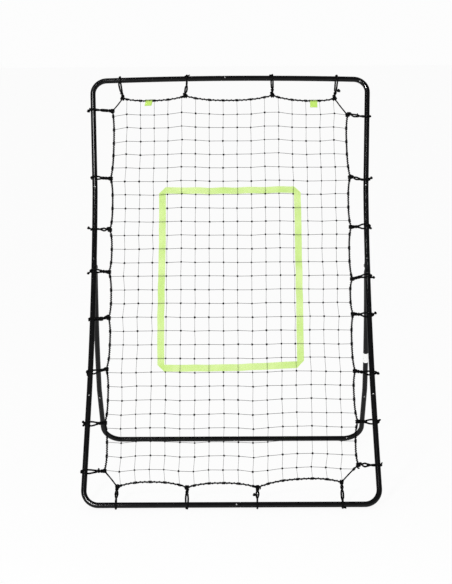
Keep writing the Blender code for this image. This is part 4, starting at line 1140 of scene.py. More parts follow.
def rope_spans(ties):
    """The rope's centreline from each lashing up to the next."""
    spans = []
    for here, there in zip(ties, ties[1:] + ties[:1]):
        depth, fullness = scallop(here, there)
        inward = (here.inward + there.inward).normalized()
        span = []
        for step in range(ROPE_STEPS):
            share = step / ROPE_STEPS
            hang = depth * (1.0 - abs(2.0 * share - 1.0) ** fullness)
            span.append(here.rope.lerp(there.rope, share) + inward * hang)
        spans.append(span)
    for index, tie in enumerate(ties):
        tie.rope_way = (spans[index][1] - spans[index - 1][-1]).normalized()
    return spans


def crossing(points, axis, place, positive_side):
    """Where the rope crosses a straight net line on one side, and the rope's way there."""
    other = 1 - axis
    middle = 0.0 if other == 0 else FRAME_LENGTH / 2.0
    found = None
    for here, there in zip(points, points[1:] + points[:1]):
        low, high = sorted((here[axis], there[axis]))
        if not low <= place <= high or high - low < TINY:
            continue
        share = (place - here[axis]) / (there[axis] - here[axis])
        point = here.lerp(there, share)
        if (point[other] > middle) == positive_side:
            found = (point, (there - here).normalized())
    return found


def spiral_round(line, pitch, around):
    """A twine wound round a line, a little unevenly."""
    points, total = [], 0.0
    for here, there in zip(line, line[1:]):
        span = (there - here).length
        side = (there - here).cross(PLANE_OUT).normalized()
        steps = max(1, round(span / (pitch / SPIRAL_STEPS_PER_TURN)))
        for step in range(steps):
            place = here.lerp(there, step / steps)
            angle = FULL_TURN * (total + span * step / steps) / pitch
            angle += noise.noise(place * SPIRAL_NOISE_SCALE)
            points.append(place + around * (math.cos(angle) * side + math.sin(angle) * PLANE_OUT))
        total += span
    return points


def cord_piece(name, runs, sides, material, caps=True, added=False):
    """A piece of rope, cord or twine on the front frame."""
    mesh = swept_mesh(name, runs, sides, material, caps)
    finish_piece(name, mesh, material, added=added, hard_edge=CORD_HARD_EDGE)


def build_rope(ties, spans):
    """The braided border rope, and the twine wound round it between the lashings."""
    points = [point for span in spans for point in span]
    radii = [ROPE_R * (1.0 + ROPE_UNEVENNESS * noise.noise(point * ROPE_NOISE_SCALE)) for point in points]
    cord_piece("border_rope", [(points, radii, True)], ROPE_SIDES, rope_braid, caps=False)
    runs = []
    for here, there, span in zip(ties, ties[1:] + ties[:1], spans):
        if here.side == there.side:
            pitch = SIDE_WHIPPING_PITCH if here.side in ("left", "right") else END_WHIPPING_PITCH
            runs.append((spiral_round([*span, there.rope], pitch, ROPE_R + WHIPPING_R), WHIPPING_R, False))
    cord_piece("rope_whipping", runs, TWINE_SIDES, twine_lay, added=True)


# Net

def net_tree():
    """Twine along every edge, slack between the knots, and a knot at every marked point.

    An edge that runs across the net is a row and has the thicker twine, one up it is a column.
    """
    graph = GeometryGraph(
        "knotted_netting", Sides="Int", Row_Radius="Float", Column_Radius="Float", Slack="Float",
        Knot="Object", Seed="Int",
    )
    seed = graph.input["Seed"]
    fine = graph.node("GeometryNodeSubdivideMesh", {"Mesh": graph.input["Geometry"], "Level": 2})
    inputs = {"Scale": SLACK_NOISE_SCALE, "Detail": 1.0, "W": seed}
    wander = graph.node("ShaderNodeTexNoise", inputs, noise_dimensions="4D").outputs["Color"]
    centred = graph.node("ShaderNodeVectorMath", {0: wander, 1: (0.5, 0.5, 0.5)}, operation="SUBTRACT")
    inputs = {0: centred, "Scale": graph.input["Slack"]}
    offset = graph.node("ShaderNodeVectorMath", inputs, operation="SCALE")
    slack = graph.node("GeometryNodeSetPosition", {"Geometry": fine, "Offset": offset})
    joined = graph.node("GeometryNodeJoinGeometry")
    is_row = graph.attribute("row_edge", "BOOLEAN")
    is_column = graph.node("FunctionNodeBooleanMath", {0: is_row}, operation="NOT")
    for others, radius in ((is_column, "Row Radius"), (is_row, "Column Radius")):
        inputs = {"Geometry": slack, "Selection": others}
        kept = graph.node("GeometryNodeDeleteGeometry", inputs, domain="EDGE")
        sized = graph.store(kept, "section_radius", graph.input[radius], "FLOAT", "POINT")
        twine = graph.node("GeometryNodeGroup", node_tree=round_section)
        graph.feed(twine.inputs["Geometry"], sized)
        graph.feed(twine.inputs["Caps"], True)
        for label in ("Sides", "Material"):
            graph.feed(twine.inputs[label], graph.input[label])
        graph.feed(joined.inputs[0], twine)
    inputs = {"Geometry": graph.input["Geometry"], "Offset": offset}
    shifted = graph.node("GeometryNodeSetPosition", inputs)
    inputs = {"Mesh": shifted, "Selection": graph.attribute("knot", "BOOLEAN")}
    spots = graph.node("GeometryNodeMeshToPoints", inputs)
    shape = graph.node("GeometryNodeObjectInfo", {"Object": graph.input["Knot"]})
    least, most = (-KNOT_TILT, -KNOT_TILT, 0.0), (KNOT_TILT, KNOT_TILT, FULL_TURN)
    inputs = {"Min": least, "Max": most, "Seed": seed}
    turn = graph.node("FunctionNodeRandomValue", inputs, data_type="FLOAT_VECTOR")
    size = graph.node("FunctionNodeRandomValue", data_type="FLOAT")
    for label, value in (("Min", KNOT_SIZES[0]), ("Max", KNOT_SIZES[1]), ("Seed", seed)):
        graph.feed(size.inputs[label], value)
    knots = graph.node("GeometryNodeInstanceOnPoints", {
        "Points": spots, "Instance": shape.outputs["Geometry"],
        "Rotation": graph.node("FunctionNodeEulerToRotation", {"Euler": turn}), "Scale": size.outputs[1],
    })
    graph.feed(joined.inputs[0], knots)
    return graph.end(joined)


def hitch_tree():
    """A hitch at every point, turned along the rope."""
    graph = GeometryGraph("hitches_on_rope", Hitch="Object")
    way = graph.attribute("rope_way", "FLOAT_VECTOR")
    shape = graph.node("GeometryNodeObjectInfo", {"Object": graph.input["Hitch"]})
    return graph.end(graph.node("GeometryNodeInstanceOnPoints", {
        "Points": graph.node("GeometryNodeMeshToPoints", {"Mesh": graph.input["Geometry"]}),
        "Instance": shape.outputs["Geometry"],
        "Rotation": graph.node("FunctionNodeAlignRotationToVector", {"Vector": way}, axis="Z"),
    }))


def column_places():
    """Places of the net's columns across the frame."""
    return [FIRST_COLUMN + MESH_PITCH * column for column in range(COLUMNS)]


def row_places():
    """Places of its rows up the slope: the net's own weight stretches its upper meshes."""
    return [LOWEST_ROW + ROW_PITCH * row + ROW_STRETCH * row * row for row in range(ROWS)]


def overhand_points(size, count):
    """A closed overhand knot about the origin, flat across Z."""
    points = []
    for step in range(count):
        t = FULL_TURN * step / count
        x, y = math.sin(t) + 2.0 * math.sin(2.0 * t), math.cos(t) - 2.0 * math.cos(2.0 * t)
        points.append(Vector((x, y, -math.sin(3.0 * t))) * (size / 3.0))
    return points


def net_grid(points):
    """Knots and edge places of the net: (vertices, edges, edge places)."""
    chance = random.Random(SEED)
    columns, rows = column_places(), row_places()
    droops = [EDGE_DROOP * smooth_share((row - (ROWS - 1 - DROOPING_ROWS)) / 2.0) for row in range(ROWS)]
    tops = [crossing(points, 0, x, True) for x in columns]
    bottoms = [crossing(points, 0, x, False) for x in columns]
    lefts = [crossing(points, 1, s - droop, False) for s, droop in zip(rows, droops)]
    rights = [crossing(points, 1, s - droop, True) for s, droop in zip(rows, droops)]

    def pulls(places, axis):
        mean = sum(point[axis] for point, _ in places) / len(places)
        return [PULL_SHARE * (point[axis] - mean) for point, _ in places]

    def fade(distance):
        return math.exp(-abs(distance) / PULL_DECAY)

    top_pulls, bottom_pulls = pulls(tops, 1), pulls(bottoms, 1)
    left_pulls, right_pulls = pulls(lefts, 0), pulls(rights, 0)
    vertices, edges, anchors = [], [], []
    for row, s in enumerate(rows):
        for column, x in enumerate(columns):
            up = top_pulls[column] * fade(rows[-1] - s) + bottom_pulls[column] * fade(s - rows[0])
            over = left_pulls[row] * fade(x - columns[0]) + right_pulls[row] * fade(columns[-1] - x)
            jitter_x = chance.uniform(-KNOT_JITTER, KNOT_JITTER)
            jitter_y = chance.uniform(-KNOT_JITTER, KNOT_JITTER)
            vertices.append(Vector((x + over + jitter_x, s + up + jitter_y, 0.0)))

    def add_anchor(place, knot):
        anchors.append(place)
        edges.append((knot, len(vertices)))
        vertices.append(place[0])

    for row in range(ROWS):
        first = row * COLUMNS
        edges += [(first + column, first + column + 1) for column in range(COLUMNS - 1)]
        add_anchor(lefts[row], first)
        add_anchor(rights[row], first + COLUMNS - 1)
    for column in range(COLUMNS):
        edges += [(row * COLUMNS + column, (row + 1) * COLUMNS + column) for row in range(ROWS - 1)]
        add_anchor(tops[column], (ROWS - 1) * COLUMNS + column)
        add_anchor(bottoms[column], column)
    return vertices, edges, anchors


def build_net(points):
    """The knotted net, and the hitches that tie its edge to the rope."""
    vertices, edges, anchors = net_grid(points)
    grid = bpy.data.meshes.new("net")
    grid.from_pydata(vertices, edges, [])
    runs = [vertices[a] - vertices[b] for a, b in edges]
    is_row = [abs(run.x) > abs(run.y) for run in runs]
    is_knot = [index < ROWS * COLUMNS for index in range(len(vertices))]
    grid.attributes.new("row_edge", "BOOLEAN", "EDGE").data.foreach_set("value", is_row)
    grid.attributes.new("knot", "BOOLEAN", "POINT").data.foreach_set("value", is_knot)
    knot_run = (overhand_points(KNOT_SIZE, NET_KNOT_POINTS), KNOT_TWINE_R, True)
    knot = scratch_object("knot", swept_mesh("knot", [knot_run], KNOT_SIDES, twine_lay, caps=False))
    mesh = run_tree(
        "net", grid, net_tree(), twine_lay, Sides=TWINE_SIDES, Row_Radius=ROW_TWINE_R,
        Column_Radius=COLUMN_TWINE_R, Slack=TWINE_SLACK, Knot=knot, Seed=SEED,
    )
    finish_piece("net", mesh, twine_lay, hard_edge=CORD_HARD_EDGE)
    bpy.data.objects.remove(knot, do_unlink=True)

    steps = round(HITCH_TURNS * HITCH_STEPS_PER_TURN)
    around = ROPE_R + HITCH_R
    coil = []
    for step in range(steps + 1):
        angle = FULL_TURN * HITCH_TURNS * step / steps
        rise = (step / steps - 0.5) * HITCH_TURNS * HITCH_R * HITCH_SPACING
        coil.append(Vector((around * math.cos(angle), around * math.sin(angle), rise)))
    hitch_mesh = swept_mesh("hitch", [(coil, HITCH_R, False)], TWINE_SIDES, twine_lay)
    hitch = scratch_object("hitch", hitch_mesh)
    spots = bpy.data.meshes.new("edge_hitches")
    spots.from_pydata([point for point, _ in anchors], [], [])
    ways = [value for _, way in anchors for value in way]
    spots.attributes.new("rope_way", "FLOAT_VECTOR", "POINT").data.foreach_set("vector", ways)
    mesh = run_tree("edge_hitches", spots, hitch_tree(), twine_lay, Hitch=hitch)
    finish_piece("edge_hitches", mesh, twine_lay, added=True, hard_edge=CORD_HARD_EDGE)
    bpy.data.objects.remove(hitch, do_unlink=True)


# Lashings

@dataclass
class Look:
    """How one lashing lies, in millimetres: across to the right, then up the slope.

    Its two strands are twisted together from the rope to `join`, a share of the way to the tube, and
    spread apart by `spread` at the tube; or they are twisted but for an opening, `eye` (share, half
    width). `bend` lifts the rope end, `shift` moves the tube end, and `tuck` draws the strands over
    each other at the tube. `lumps` (across, up, diameter) and `hooks` (three points) start from the
    rope, `knobs` (share, across, up, diameter) from the strands, and `outside` lumps and `tails` from
    the tube's outer edge.
    """

    spread: float = 0.0
    join: float = 0.6
    eye: tuple = ()
    bend: float = 0.0
    shift: float = 0.0
    tuck: float = 0.0
    lumps: tuple = ()
    knobs: tuple = ()
    hooks: tuple = ()
    outside: tuple = ()
    tails: tuple = ()


LOOKS = {
    "left_lashing_1": Look(
        spread=1.8, join=0.52, lumps=((1.1, 1.0, 8.0),),
        knobs=((0.52, 0.0, 1.5, 8.0), (0.45, 5.0, 7.5, 6.0)), outside=((-2.8, -2.8, 6.5),),
    ),
    "left_lashing_2": Look(
        spread=2.2, join=0.54, lumps=((3.4, 1.7, 7.0),), knobs=((0.58, 0.0, 0.0, 6.0),),
        outside=((-5.7, 6.5, 8.5), (-4.8, -5.7, 7.0)),
    ),
    "left_lashing_3": Look(
        spread=1.2, join=0.54, shift=-2.0, lumps=((1.1, 1.7, 8.0),),
        outside=((-2.3, -3.7, 5.5), (-1.4, -14.0, 3.5)),
    ),
    "left_lashing_4": Look(
        eye=(0.62, 1.0), bend=7.5, lumps=((2.3, -5.5, 8.0), (2.3, 2.0, 8.0)),
        knobs=((0.62, -2.0, -2.5, 13.0), (0.62, 3.0, -2.5, 11.0)), outside=((-2.8, -5.7, 5.5),),
    ),
    "left_lashing_5": Look(
        spread=-0.4, join=0.66, shift=2.0, lumps=((0.9, 2.0, 8.5),),
        outside=((-2.0, 1.4, 5.5), (-10.5, -6.3, 8.5)),
    ),
    "left_lashing_6": Look(
        eye=(0.51, 1.6), bend=7.0, shift=1.5, tuck=3.0, lumps=((1.7, -4.5, 8.0), (2.0, 2.5, 8.0)),
        outside=((-2.8, -1.4, 6.0), (-12.0, 5.7, 10.0)),
    ),
    "left_lashing_7": Look(
        spread=-1.3, join=0.55, shift=1.0, lumps=((3.1, 0.9, 7.5),), outside=((-1.4, -3.5, 4.5),),
        tails=((-6.0, 3.5),),
    ),
    "left_lashing_8": Look(
        eye=(0.46, -0.3), tuck=2.9, lumps=((-2.8, -4.8, 7.5), (0.0, 1.5, 6.0)),
        outside=((-3.4, 4.8, 5.5), (-8.0, -4.5, 11.0)),
    ),
    "right_lashing_1": Look(
        eye=(0.43, 2.6), bend=4.5, lumps=((-4.0, 4.0, 6.5), (-4.0, -4.0, 6.5)),
        knobs=((0.6, 0.0, 0.0, 6.0),), hooks=(((-4.0, -6.0), (-1.0, -13.0), (4.5, -11.0)),),
        outside=((1.4, -1.4, 6.5),), tails=((6.0, 9.0),),
    ),
    "right_lashing_2": Look(
        spread=2.6, join=0.55, lumps=((-1.7, 1.7, 7.5),), knobs=((0.62, 0.0, 0.0, 7.0),),
        outside=((2.8, 0.0, 7.0),), tails=((6.5, 8.5), (10.5, 7.5)),
    ),
    "right_lashing_3": Look(
        spread=1.2, join=0.7, shift=-5.0, lumps=((-1.0, 4.8, 8.0),),
        outside=((4.3, -1.4, 6.5), (11.4, -6.5, 10.0)),
    ),
    "right_lashing_4": Look(
        spread=1.9, join=0.65, lumps=((-4.3, 0.6, 7.5), (0.0, 1.5, 6.0)),
        outside=((4.3, -1.0, 7.0), (12.0, 6.0, 9.5)),
    ),
    "right_lashing_5": Look(
        spread=-0.5, join=0.5, shift=7.0, lumps=((-3.4, 0.5, 8.0),),
        outside=((2.0, 7.5, 8.0), (11.0, 1.0, 9.0)),
    ),
    "right_lashing_6": Look(
        spread=1.9, join=0.62, lumps=((-2.3, 2.0, 8.0),), outside=((1.7, 2.8, 5.5), (5.0, -7.0, 8.0)),
    ),
    "right_lashing_7": Look(
        eye=(0.51, 1.0), bend=5.0, shift=-4.0, tuck=2.7, lumps=((-1.7, -4.0, 8.0), (1.0, 4.0, 6.0)),
        outside=((2.8, -3.5, 6.5), (9.4, 2.5, 9.5)),
    ),
    "right_lashing_8": Look(
        eye=(0.44, 1.0), bend=7.0, shift=-3.0, tuck=3.2, lumps=((0.0, -1.4, 8.0), (-0.5, 5.0, 6.0)),
        knobs=((0.64, 0.0, 3.4, 6.0), (0.62, 0.0, 7.5, 4.0)), outside=((1.4, -3.0, 5.5),),
    ),
    "top_lashing_1": Look(
        spread=0.7, join=0.5, shift=-2.5, bend=3.0, lumps=((-3.5, -2.0, 9.5),), tails=((-0.5, 4.5),),
    ),
    "top_lashing_2": Look(
        eye=(0.45, 0.5), bend=-5.0, lumps=((4.0, 0.5, 9.0), (-4.5, 0.0, 6.0)),
        outside=((-1.4, 1.4, 8.0),), tails=((-8.0, 0.5), (11.0, 5.5)),
    ),
    "top_lashing_3": Look(
        spread=0.1, join=0.6, bend=-4.0, lumps=((3.0, -0.5, 9.5),), knobs=((0.45, 0.0, 0.0, 8.0),),
        outside=((-7.0, 2.0, 6.5), (-0.5, 1.4, 6.5)),
    ),
    "top_lashing_4": Look(
        spread=0.4, join=0.5, shift=1.0, bend=-4.0, lumps=((3.5, -1.0, 9.5),),
        knobs=((0.47, 11.4, 0.0, 12.0), (0.3, 0.0, 0.0, 7.0)), tails=((1.0, 4.5),),
    ),
    "bottom_lashing_1": Look(
        eye=(0.48, 0.6), lumps=((0.5, 4.5, 8.5),),
        knobs=((0.48, 0.0, 0.0, 9.0), (0.48, -5.5, -1.0, 4.0), (0.48, 5.5, -1.0, 4.0)),
        hooks=(((2.0, 6.0), (9.0, 7.0), (8.0, -4.0)),), outside=((-0.5, -1.5, 5.5),),
    ),
    "bottom_lashing_2": Look(
        spread=1.3, join=0.5, bend=2.0, lumps=((-3.5, -3.0, 8.5), (1.7, 1.7, 8.5)),
        tails=((-3.5, -4.5), (3.5, -4.5)),
    ),
    "bottom_lashing_3": Look(
        eye=(0.49, 1.2), lumps=((0.6, 2.8, 10.0),), knobs=((0.54, -10.5, 0.0, 10.0),),
        hooks=(((3.0, 4.0), (11.0, 4.0), (9.0, -6.5)),), tails=((-1.0, -4.5),),
    ),
    "bottom_lashing_4": Look(
        eye=(0.66, 0.5), lumps=((1.0, 0.5, 10.5),), knobs=((0.19, 0.0, 0.0, 8.5), (0.4, 0.0, 0.0, 7.5)),
        outside=((-1.5, -2.0, 5.5), (9.0, -2.5, 5.5)),
    ),
}


def plane_offset(across, up, out=0.0):
    """An offset in the front plane, given in millimetres."""
    return Vector((across, up, out)) * MILLIMETRE


def bump(place, middle, width):
    """A smooth bump of height 1 about the middle."""
    return math.exp(-((place - middle) / width) ** 2)


def lump_run(centre, diameter, facing):
    """An overhand knot pulled tight, as a closed run of cord."""
    diameter *= LUMP_SWELL * MILLIMETRE
    cord = min(diameter * KNOT_CORD_SHARE, CORD_R)
    turn = facing.to_track_quat("Z", "Y")
    knot = overhand_points(diameter / 2.0 - cord, KNOT_POINTS)
    return ([centre + turn @ point for point in knot], cord, True)


def tail_run(start, middle, end):
    """A free end of cord, thinner at its cut tip."""
    points, radii = [], []
    for step in range(TAIL_STEPS + 1):
        share = step / TAIL_STEPS
        curve = start * (1.0 - share) ** 2 + middle * (2.0 * share * (1.0 - share)) + end * share ** 2
        points.append(curve)
        radii.append(CORD_R * (TAIL_SHARE if share < TAIL_TIP_START else TAIL_TIP_SHARE))
    return (points, radii, False)


def ramp(stops, place):
    """Straight-line reading between (place, value) stops."""
    for (low, first), (high, last) in zip(stops, stops[1:]):
        if place <= high:
            return first + (last - first) * max(place - low, 0.0) / (high - low)
    return stops[-1][1]


def strand_turns(look):
    """Stops for the angle by which the two strands are twisted on their way to the tube."""
    stacked = FULL_TURN + (0.0 if look.spread else QUARTER_TURN)
    if not look.eye:
        return ((0.0, -math.pi), (look.join, stacked), (1.0, stacked))
    before, after = look.eye[0] - TWIST_REACH, look.eye[0] + TWIST_REACH
    apart = ((0.0, 0.0), (before, FULL_TURN), (after, FULL_TURN))
    return (*apart, (min(after + STACK_RUN, STACK_END), stacked), (1.0, stacked))


def strand_run(tie, look, sign, middle, shift):
    """One strand from the rope to the tube, and round to the tube's back."""
    turns = strand_turns(look)
    opening = SPREAD_RUN * (1.0 - look.join)
    points = []
    for step in range(STRAND_POINTS + 1):
        share = step / STRAND_POINTS
        angle = ramp(turns, share)
        half = look.spread * smooth_share((share - look.join) / opening)
        if look.eye:
            half += look.eye[1] * bump(share, look.eye[0], EYE_WIDTH)
        half -= look.tuck * smooth_share((share - TUCK_START) / (1.0 - TUCK_START))
        beside = CORD_R * math.cos(angle) + half * MILLIMETRE
        rise = CORD_R * math.sin(angle)
        rise += WRAP_R * LIFT_SHARE * smooth_share((share - LIFT_START) / (1.0 - LIFT_START))
        points.append(middle(share) + sign * (tie.along * beside + PLANE_OUT * rise))
    beside = CORD_R * math.cos(turns[-1][1]) + (look.spread - look.tuck) * MILLIMETRE
    for angle in evenly(WRAP_START, math.pi, WRAP_STEPS):
        share = (angle - WRAP_START) / (math.pi - WRAP_START)
        ring = tie.inward * math.cos(angle) + PLANE_OUT * sign * math.sin(angle)
        aside = tie.along * sign * beside * (1.0 - BACK_CLOSING * share)
        points.append(tie.tube + shift + ring * WRAP_R + aside)
    return (points, CORD_R, False)


def rope_rings(tie):
    """The two turns of cord round the rope."""
    around = ROPE_R + CORD_R
    side = tie.rope_way.cross(PLANE_OUT)
    angles = [FULL_TURN * step / WRAP_STEPS for step in range(WRAP_STEPS)]
    rings = []
    for place in (-RING_PLACE, RING_PLACE):
        centre = tie.rope + tie.rope_way * (CORD_R * place)
        ring = [centre + around * (math.cos(a) * side + math.sin(a) * PLANE_OUT) for a in angles]
        rings.append((ring, CORD_R, True))
    return rings


def lashing_runs(tie, look):
    """All cord runs of one lashing, in the front plane."""
    slack_way = Vector((0.0, 1.0, 0.0)) if abs(tie.inward.x) > 0.5 else Vector((1.0, 0.0, 0.0))
    shift = slack_way * look.shift * MILLIMETRE
    neck = tie.tube + tie.inward * (TUBE_R + CORD_R) + shift

    def middle(share):
        bend = look.bend * MILLIMETRE * bump(share, BEND_PLACE, BEND_WIDTH)
        return tie.rope.lerp(neck, share) + slack_way * bend

    runs = [strand_run(tie, look, sign, middle, shift) for sign in (1.0, -1.0)]
    runs += rope_rings(tie)
    for across, up, diameter in look.lumps:
        centre = tie.rope + plane_offset(across, up, LUMP_LIFT)
        runs.append(lump_run(centre, diameter, PLANE_OUT + tie.inward * LUMP_TILT))
    for share, across, up, diameter in look.knobs:
        spot = middle(share) + plane_offset(across, up, LUMP_LIFT)
        runs.append(lump_run(spot, diameter, PLANE_OUT))
        if math.hypot(across, up) > diameter / 2.0:
            halfway = middle(share) + plane_offset(across, up, KNOB_TAIL_LIFT) * 0.5
            runs.append(tail_run(middle(share), halfway, spot))
    for hook in look.hooks:
        runs.append(tail_run(*[tie.rope + plane_offset(*point, HOOK_LIFT) for point in hook]))
    edge = tie.tube - tie.inward * TUBE_R
    start = edge + plane_offset(0.0, 0.0, FORWARD_OF_BOTTOM_TUBE if tie.side == "bottom" else 0.0)
    for across, up, diameter in look.outside:
        runs.append(lump_run(start + plane_offset(across, up), diameter, PLANE_OUT))
    for across, up in [end[:2] for end in (*look.outside, *look.tails)]:
        spot = start + plane_offset(across, up)
        halfway = edge.lerp(spot, 0.5) + plane_offset(0.0, 0.0, TAIL_LIFT)
        runs.append(tail_run(start, halfway, spot))
    return runs


def build_lashings(ties):
    """Every lashing as it lies; what would reach under the frame is pressed flat on the floor."""
    for tie in ties:
        mesh = swept_mesh(tie.name, lashing_runs(tie, LOOKS[tie.name]), CORD_SIDES, cord_braid)
        mesh.transform(FRONT)
        for vertex in mesh.vertices:
            vertex.co.z = max(vertex.co.z, 0.0)
        in_place = Matrix.Identity(4)
        finish_piece(tie.name, mesh, cord_braid, plane=in_place, hard_edge=CORD_HARD_EDGE)


# Target band and tabs

def ribbon_grid(start, end, weave_places, layer, bow, sway):
    """One run of the ribbon, slightly bowed and swayed, its ends cut along the folds at 45 degrees."""
    way = (end - start).normalized()
    inward = Vector((way.y, -way.x, 0.0))
    length = (end - start).length
    steps = max(2, round(length / BAND_STEP))
    grid = []
    for step in range(steps + 1):
        row = []
        for cell in range(BAND_CELLS + 1):
            depth = BAND_WIDTH * cell / BAND_CELLS
            low, high = BAND_WIDTH - depth, length - BAND_WIDTH + depth
            along = low + (high - low) * step / steps
            share = along / length
            edge = min(along - low, high - along)
            wander = bow * math.sin(math.pi * share) + sway * math.sin(FULL_TURN * share)
            ripple = BAND_RIPPLE * noise.noise((start + way * along) * BAND_NOISE_SCALE)
            wander += ripple * min(edge / RIPPLE_FADE, 1.0)
            lift = 0.0
            for place, front in weave_places:
                near = abs(along - place)
                if near < MESH_PITCH:
                    swell = 0.5 * (1.0 + math.cos(math.pi * near / MESH_PITCH))
                    lift += BAND_WEAVE * (-swell if front else swell)
            lift = lift * smooth_share(edge / WEAVE_FADE) + layer * smooth_share(edge / LAYER_FADE)
            place = start + way * along + inward * (depth + wander) + PLANE_OUT * lift
            row.append((place, (along, depth)))
        grid.append(row)
    return grid


def build_band():
    """One ribbon woven through the net as a square ring, folded at its corners."""
    corners = [Vector((*place, 0.0)) for place in BAND_CORNERS]
    body = bmesh.new()
    for index, (start, end) in enumerate(zip(corners, corners[1:] + corners[:1])):
        run = end - start
        way = run.normalized()
        axis = 0 if abs(way.x) > 0.5 else 1
        places = []
        for count, line in enumerate((column_places(), row_places())[axis]):
            along = (line - start[axis]) / way[axis]
            if -WEAVE_REACH < along < run.length + WEAVE_REACH:
                places.append((along, count % 2 == BAND_FIRST_OVER[index]))
        layer = FOLD_LAYER if index % 2 == 0 else -FOLD_LAYER
        strip_faces(body, ribbon_grid(start, end, places, layer, BAND_BOW[index], BAND_SWAY[index]))
    bmesh.ops.remove_doubles(body, verts=body.verts, dist=WELD)
    mesh = mesh_from(body, "target_band")
    mesh = plain_mesh(thickened("target_band", mesh, BAND_THICKNESS, 0.0))
    band = finish_piece("target_band", mesh, band_ribbon)


def build_tab(name, points, across, width, drop, slant):
    """A short piece of ribbon folded over the rope, and the twine that stitches it there."""
    point, way = crossing(points, 0, across, True)
    if way.x < 0.0:
        way = -way
    radius = ROPE_R + TAB_CLEARANCE
    profile = [(-drop * share, radius) for share in (1.0, 0.75, 0.5, 0.25)]
    angles = (0.0, *evenly(0.0, math.pi, TAB_ROUND_STEPS))
    profile += [(radius * math.sin(a), radius * math.cos(a)) for a in angles]
    profile += [(-drop * TAB_BACK_SHARE * share, -radius) for share in (0.25, 0.5, 0.75, 1.0)]
    grid = []
    along = 0.0
    before = profile[0]
    for rise, depth in profile:
        along += math.hypot(rise - before[0], depth - before[1])
        before = (rise, depth)
        hang = min(rise, 0.0) / -drop
        row = []
        for cell in range(TAB_CELLS + 1):
            side = (cell / TAB_CELLS - 0.5) * width
            ripple = TAB_RIPPLE * math.sin(side * TAB_RIPPLES + 1.0) * hang
            place = point + way * (side + slant * hang) + Vector((0.0, rise, depth + ripple))
            row.append((place, (along, side)))
        grid.append(row)
    body = bmesh.new()
    strip_faces(body, grid)
    mesh = plain_mesh(thickened(name, mesh_from(body, name), TAB_THICKNESS, 0.0))
    tab = finish_piece(name, mesh, tab_ribbon)
    reach = way * width * STITCH_REACH
    around = ROPE_R + STITCH_CLEARANCE + STITCH_R
    stitches = spiral_round([point - reach, point + reach], STITCH_PITCH, around)
    runs = [(stitches, STITCH_R, False)]
    cord_piece(f"{name}_stitching", runs, TWINE_SIDES, twine_lay, added=True)


# Studio

def aim_camera():
    """The camera as measured from the photograph."""
    yaw, pitch, roll = CAMERA_YAW, CAMERA_PITCH, CAMERA_ROLL
    forward = Vector((math.sin(yaw) * math.cos(pitch), math.cos(yaw) * math.cos(pitch), -math.sin(pitch)))
    level = Vector((math.cos(yaw), -math.sin(yaw), 0.0))
    lift = level.cross(forward)
    right = math.cos(roll) * level + math.sin(roll) * lift
    up = math.cos(roll) * lift - math.sin(roll) * level
    place = FRONT_TUBE + Vector(CAMERA_FROM_TUBE)
    place.x = CAMERA_FROM_TUBE[0]
    data = bpy.data.cameras.new("camera")
    data.sensor_width = SENSOR
    data.lens = CAMERA_FOCAL_PX / max(PHOTO_WIDTH, PHOTO_HEIGHT) * SENSOR
    data.clip_end = 100.0
    camera = bpy.data.objects.new("camera", data)
    bpy.context.scene.collection.objects.link(camera)
    turn = Matrix((right, up, -forward)).transposed()
    camera.matrix_world = Matrix.Translation(place) @ turn.to_4x4()
    bpy.context.scene.camera = camera


def add_lamp(name, place, target, size, power, beam):
    """An area lamp; one with a narrow beam only makes highlights."""
    data = bpy.data.lights.new(name, "AREA")
    data.shape = "RECTANGLE"
    data.size, data.size_y = size
    data.energy = power
    data.spread = math.radians(beam)
    lamp = bpy.data.objects.new(name, data)
    bpy.context.scene.collection.objects.link(lamp)
    lamp.visible_diffuse = beam == WIDE_BEAM
    lamp.location = place
    lamp.rotation_euler = (Vector(target) - Vector(place)).to_track_quat("-Z", "Y").to_euler()


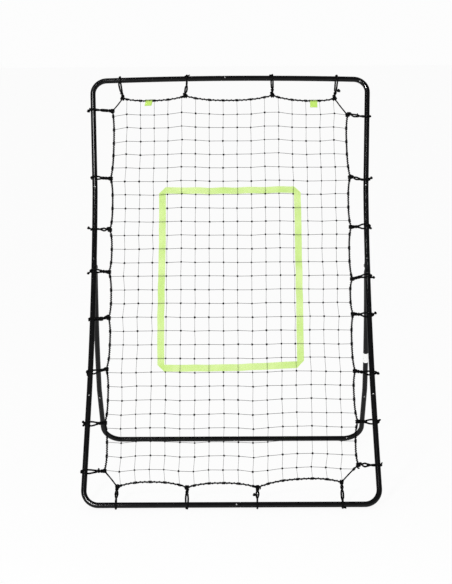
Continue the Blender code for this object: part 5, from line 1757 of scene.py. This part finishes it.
def build_studio():
    """A pale floor, a white surround that is dim as a light, and the lamps."""
    corners = [(-1.0, -1.0, 0.0), (1.0, -1.0, 0.0), (1.0, 1.0, 0.0), (-1.0, 1.0, 0.0)]
    floor_mesh = bpy.data.meshes.new("floor")
    floor_mesh.from_pydata([Vector(corner) * FLOOR_REACH for corner in corners], [], [(0, 1, 2, 3)])
    floor = bpy.data.objects.new("floor", floor_mesh)
    bpy.context.scene.collection.objects.link(floor)
    pale = Finish("pale_floor", (FLOOR_COLOUR,) * 3, 0.9, Specular_IOR_Level=0.1, Emission_Color=WHITE)
    path = pale.node("ShaderNodeLightPath")
    seen, mirrored_ray = path.outputs["Is Camera Ray"], path.outputs["Is Glossy Ray"]
    shade = pale.math("MULTIPLY_ADD", seen, FLOOR_SEEN_SHADE - FLOOR_COLOUR, FLOOR_COLOUR)
    shade = pale.math("MULTIPLY_ADD", mirrored_ray, -FLOOR_COLOUR, shade)
    pale.feed(pale.shader.inputs["Base Color"], shade)
    lift = pale.math("MULTIPLY_ADD", mirrored_ray, FLOOR_MIRRORED, pale.math("MULTIPLY", seen, FLOOR_LIFT))
    pale.feed(pale.shader.inputs["Emission Strength"], lift)
    floor_mesh.materials.append(pale.material)

    world = bpy.data.worlds.new("studio")
    bpy.context.scene.world = world
    world.use_nodes = True
    surround = Graph(world.node_tree)
    background = surround.tree.nodes["Background"]
    path = surround.node("ShaderNodeLightPath")
    strength = SURROUND_LIGHT
    for ray, level in (("Is Camera Ray", SURROUND_SEEN), ("Is Glossy Ray", SURROUND_MIRRORED)):
        strength = surround.math("MULTIPLY_ADD", path.outputs[ray], level - SURROUND_LIGHT, strength)
    surround.feed(background.inputs["Color"], WHITE)
    surround.feed(background.inputs["Strength"], strength)
    for name, lamp in LAMPS.items():
        add_lamp(name, **lamp)
    bpy.context.scene.view_settings.view_transform = "Standard"


aim_camera()
round_section = section_tree()
powder = powder_coat()
zinc = brushed_steel(
    "zinc_plated_steel", (0.60, 0.61, 0.62), ZINC_SHADES, roughness=0.26, least=0.18, most=0.34,
)
oxide = brushed_steel(
    "black_oxide_steel", (0.05, 0.05, 0.052), OXIDE_SHADES, roughness=0.3, least=0.24, most=0.40,
)
film = label_film()
rope_braid = braided_cord("black_braided_rope", ROPE_SHADES, pitch=0.012, roughness=0.65)
cord_braid = braided_cord("black_lashing_cord", CORD_SHADES, pitch=0.010, roughness=0.55)
twine_lay = twisted_twine()
band_ribbon = woven_ribbon("fluorescent_band", BAND_SHADES, Alpha=0.78)
tab_ribbon = woven_ribbon("fluorescent_tab", TAB_SHADES)

buttons = button_places()
build_tubes(buttons)
build_label()
build_buttons(buttons)
for hinge_side, hinge_sign in SIDES[::-1]:
    build_hinge(hinge_side, hinge_sign)
ties = all_ties()
spans = rope_spans(ties)
rope_line = [point for span in spans for point in span]
build_rope(ties, spans)
build_net(rope_line)
build_lashings(ties)
build_band()
for tab_name, tab_sizes in TABS.items():
    build_tab(tab_name, rope_line, **tab_sizes)
build_studio()
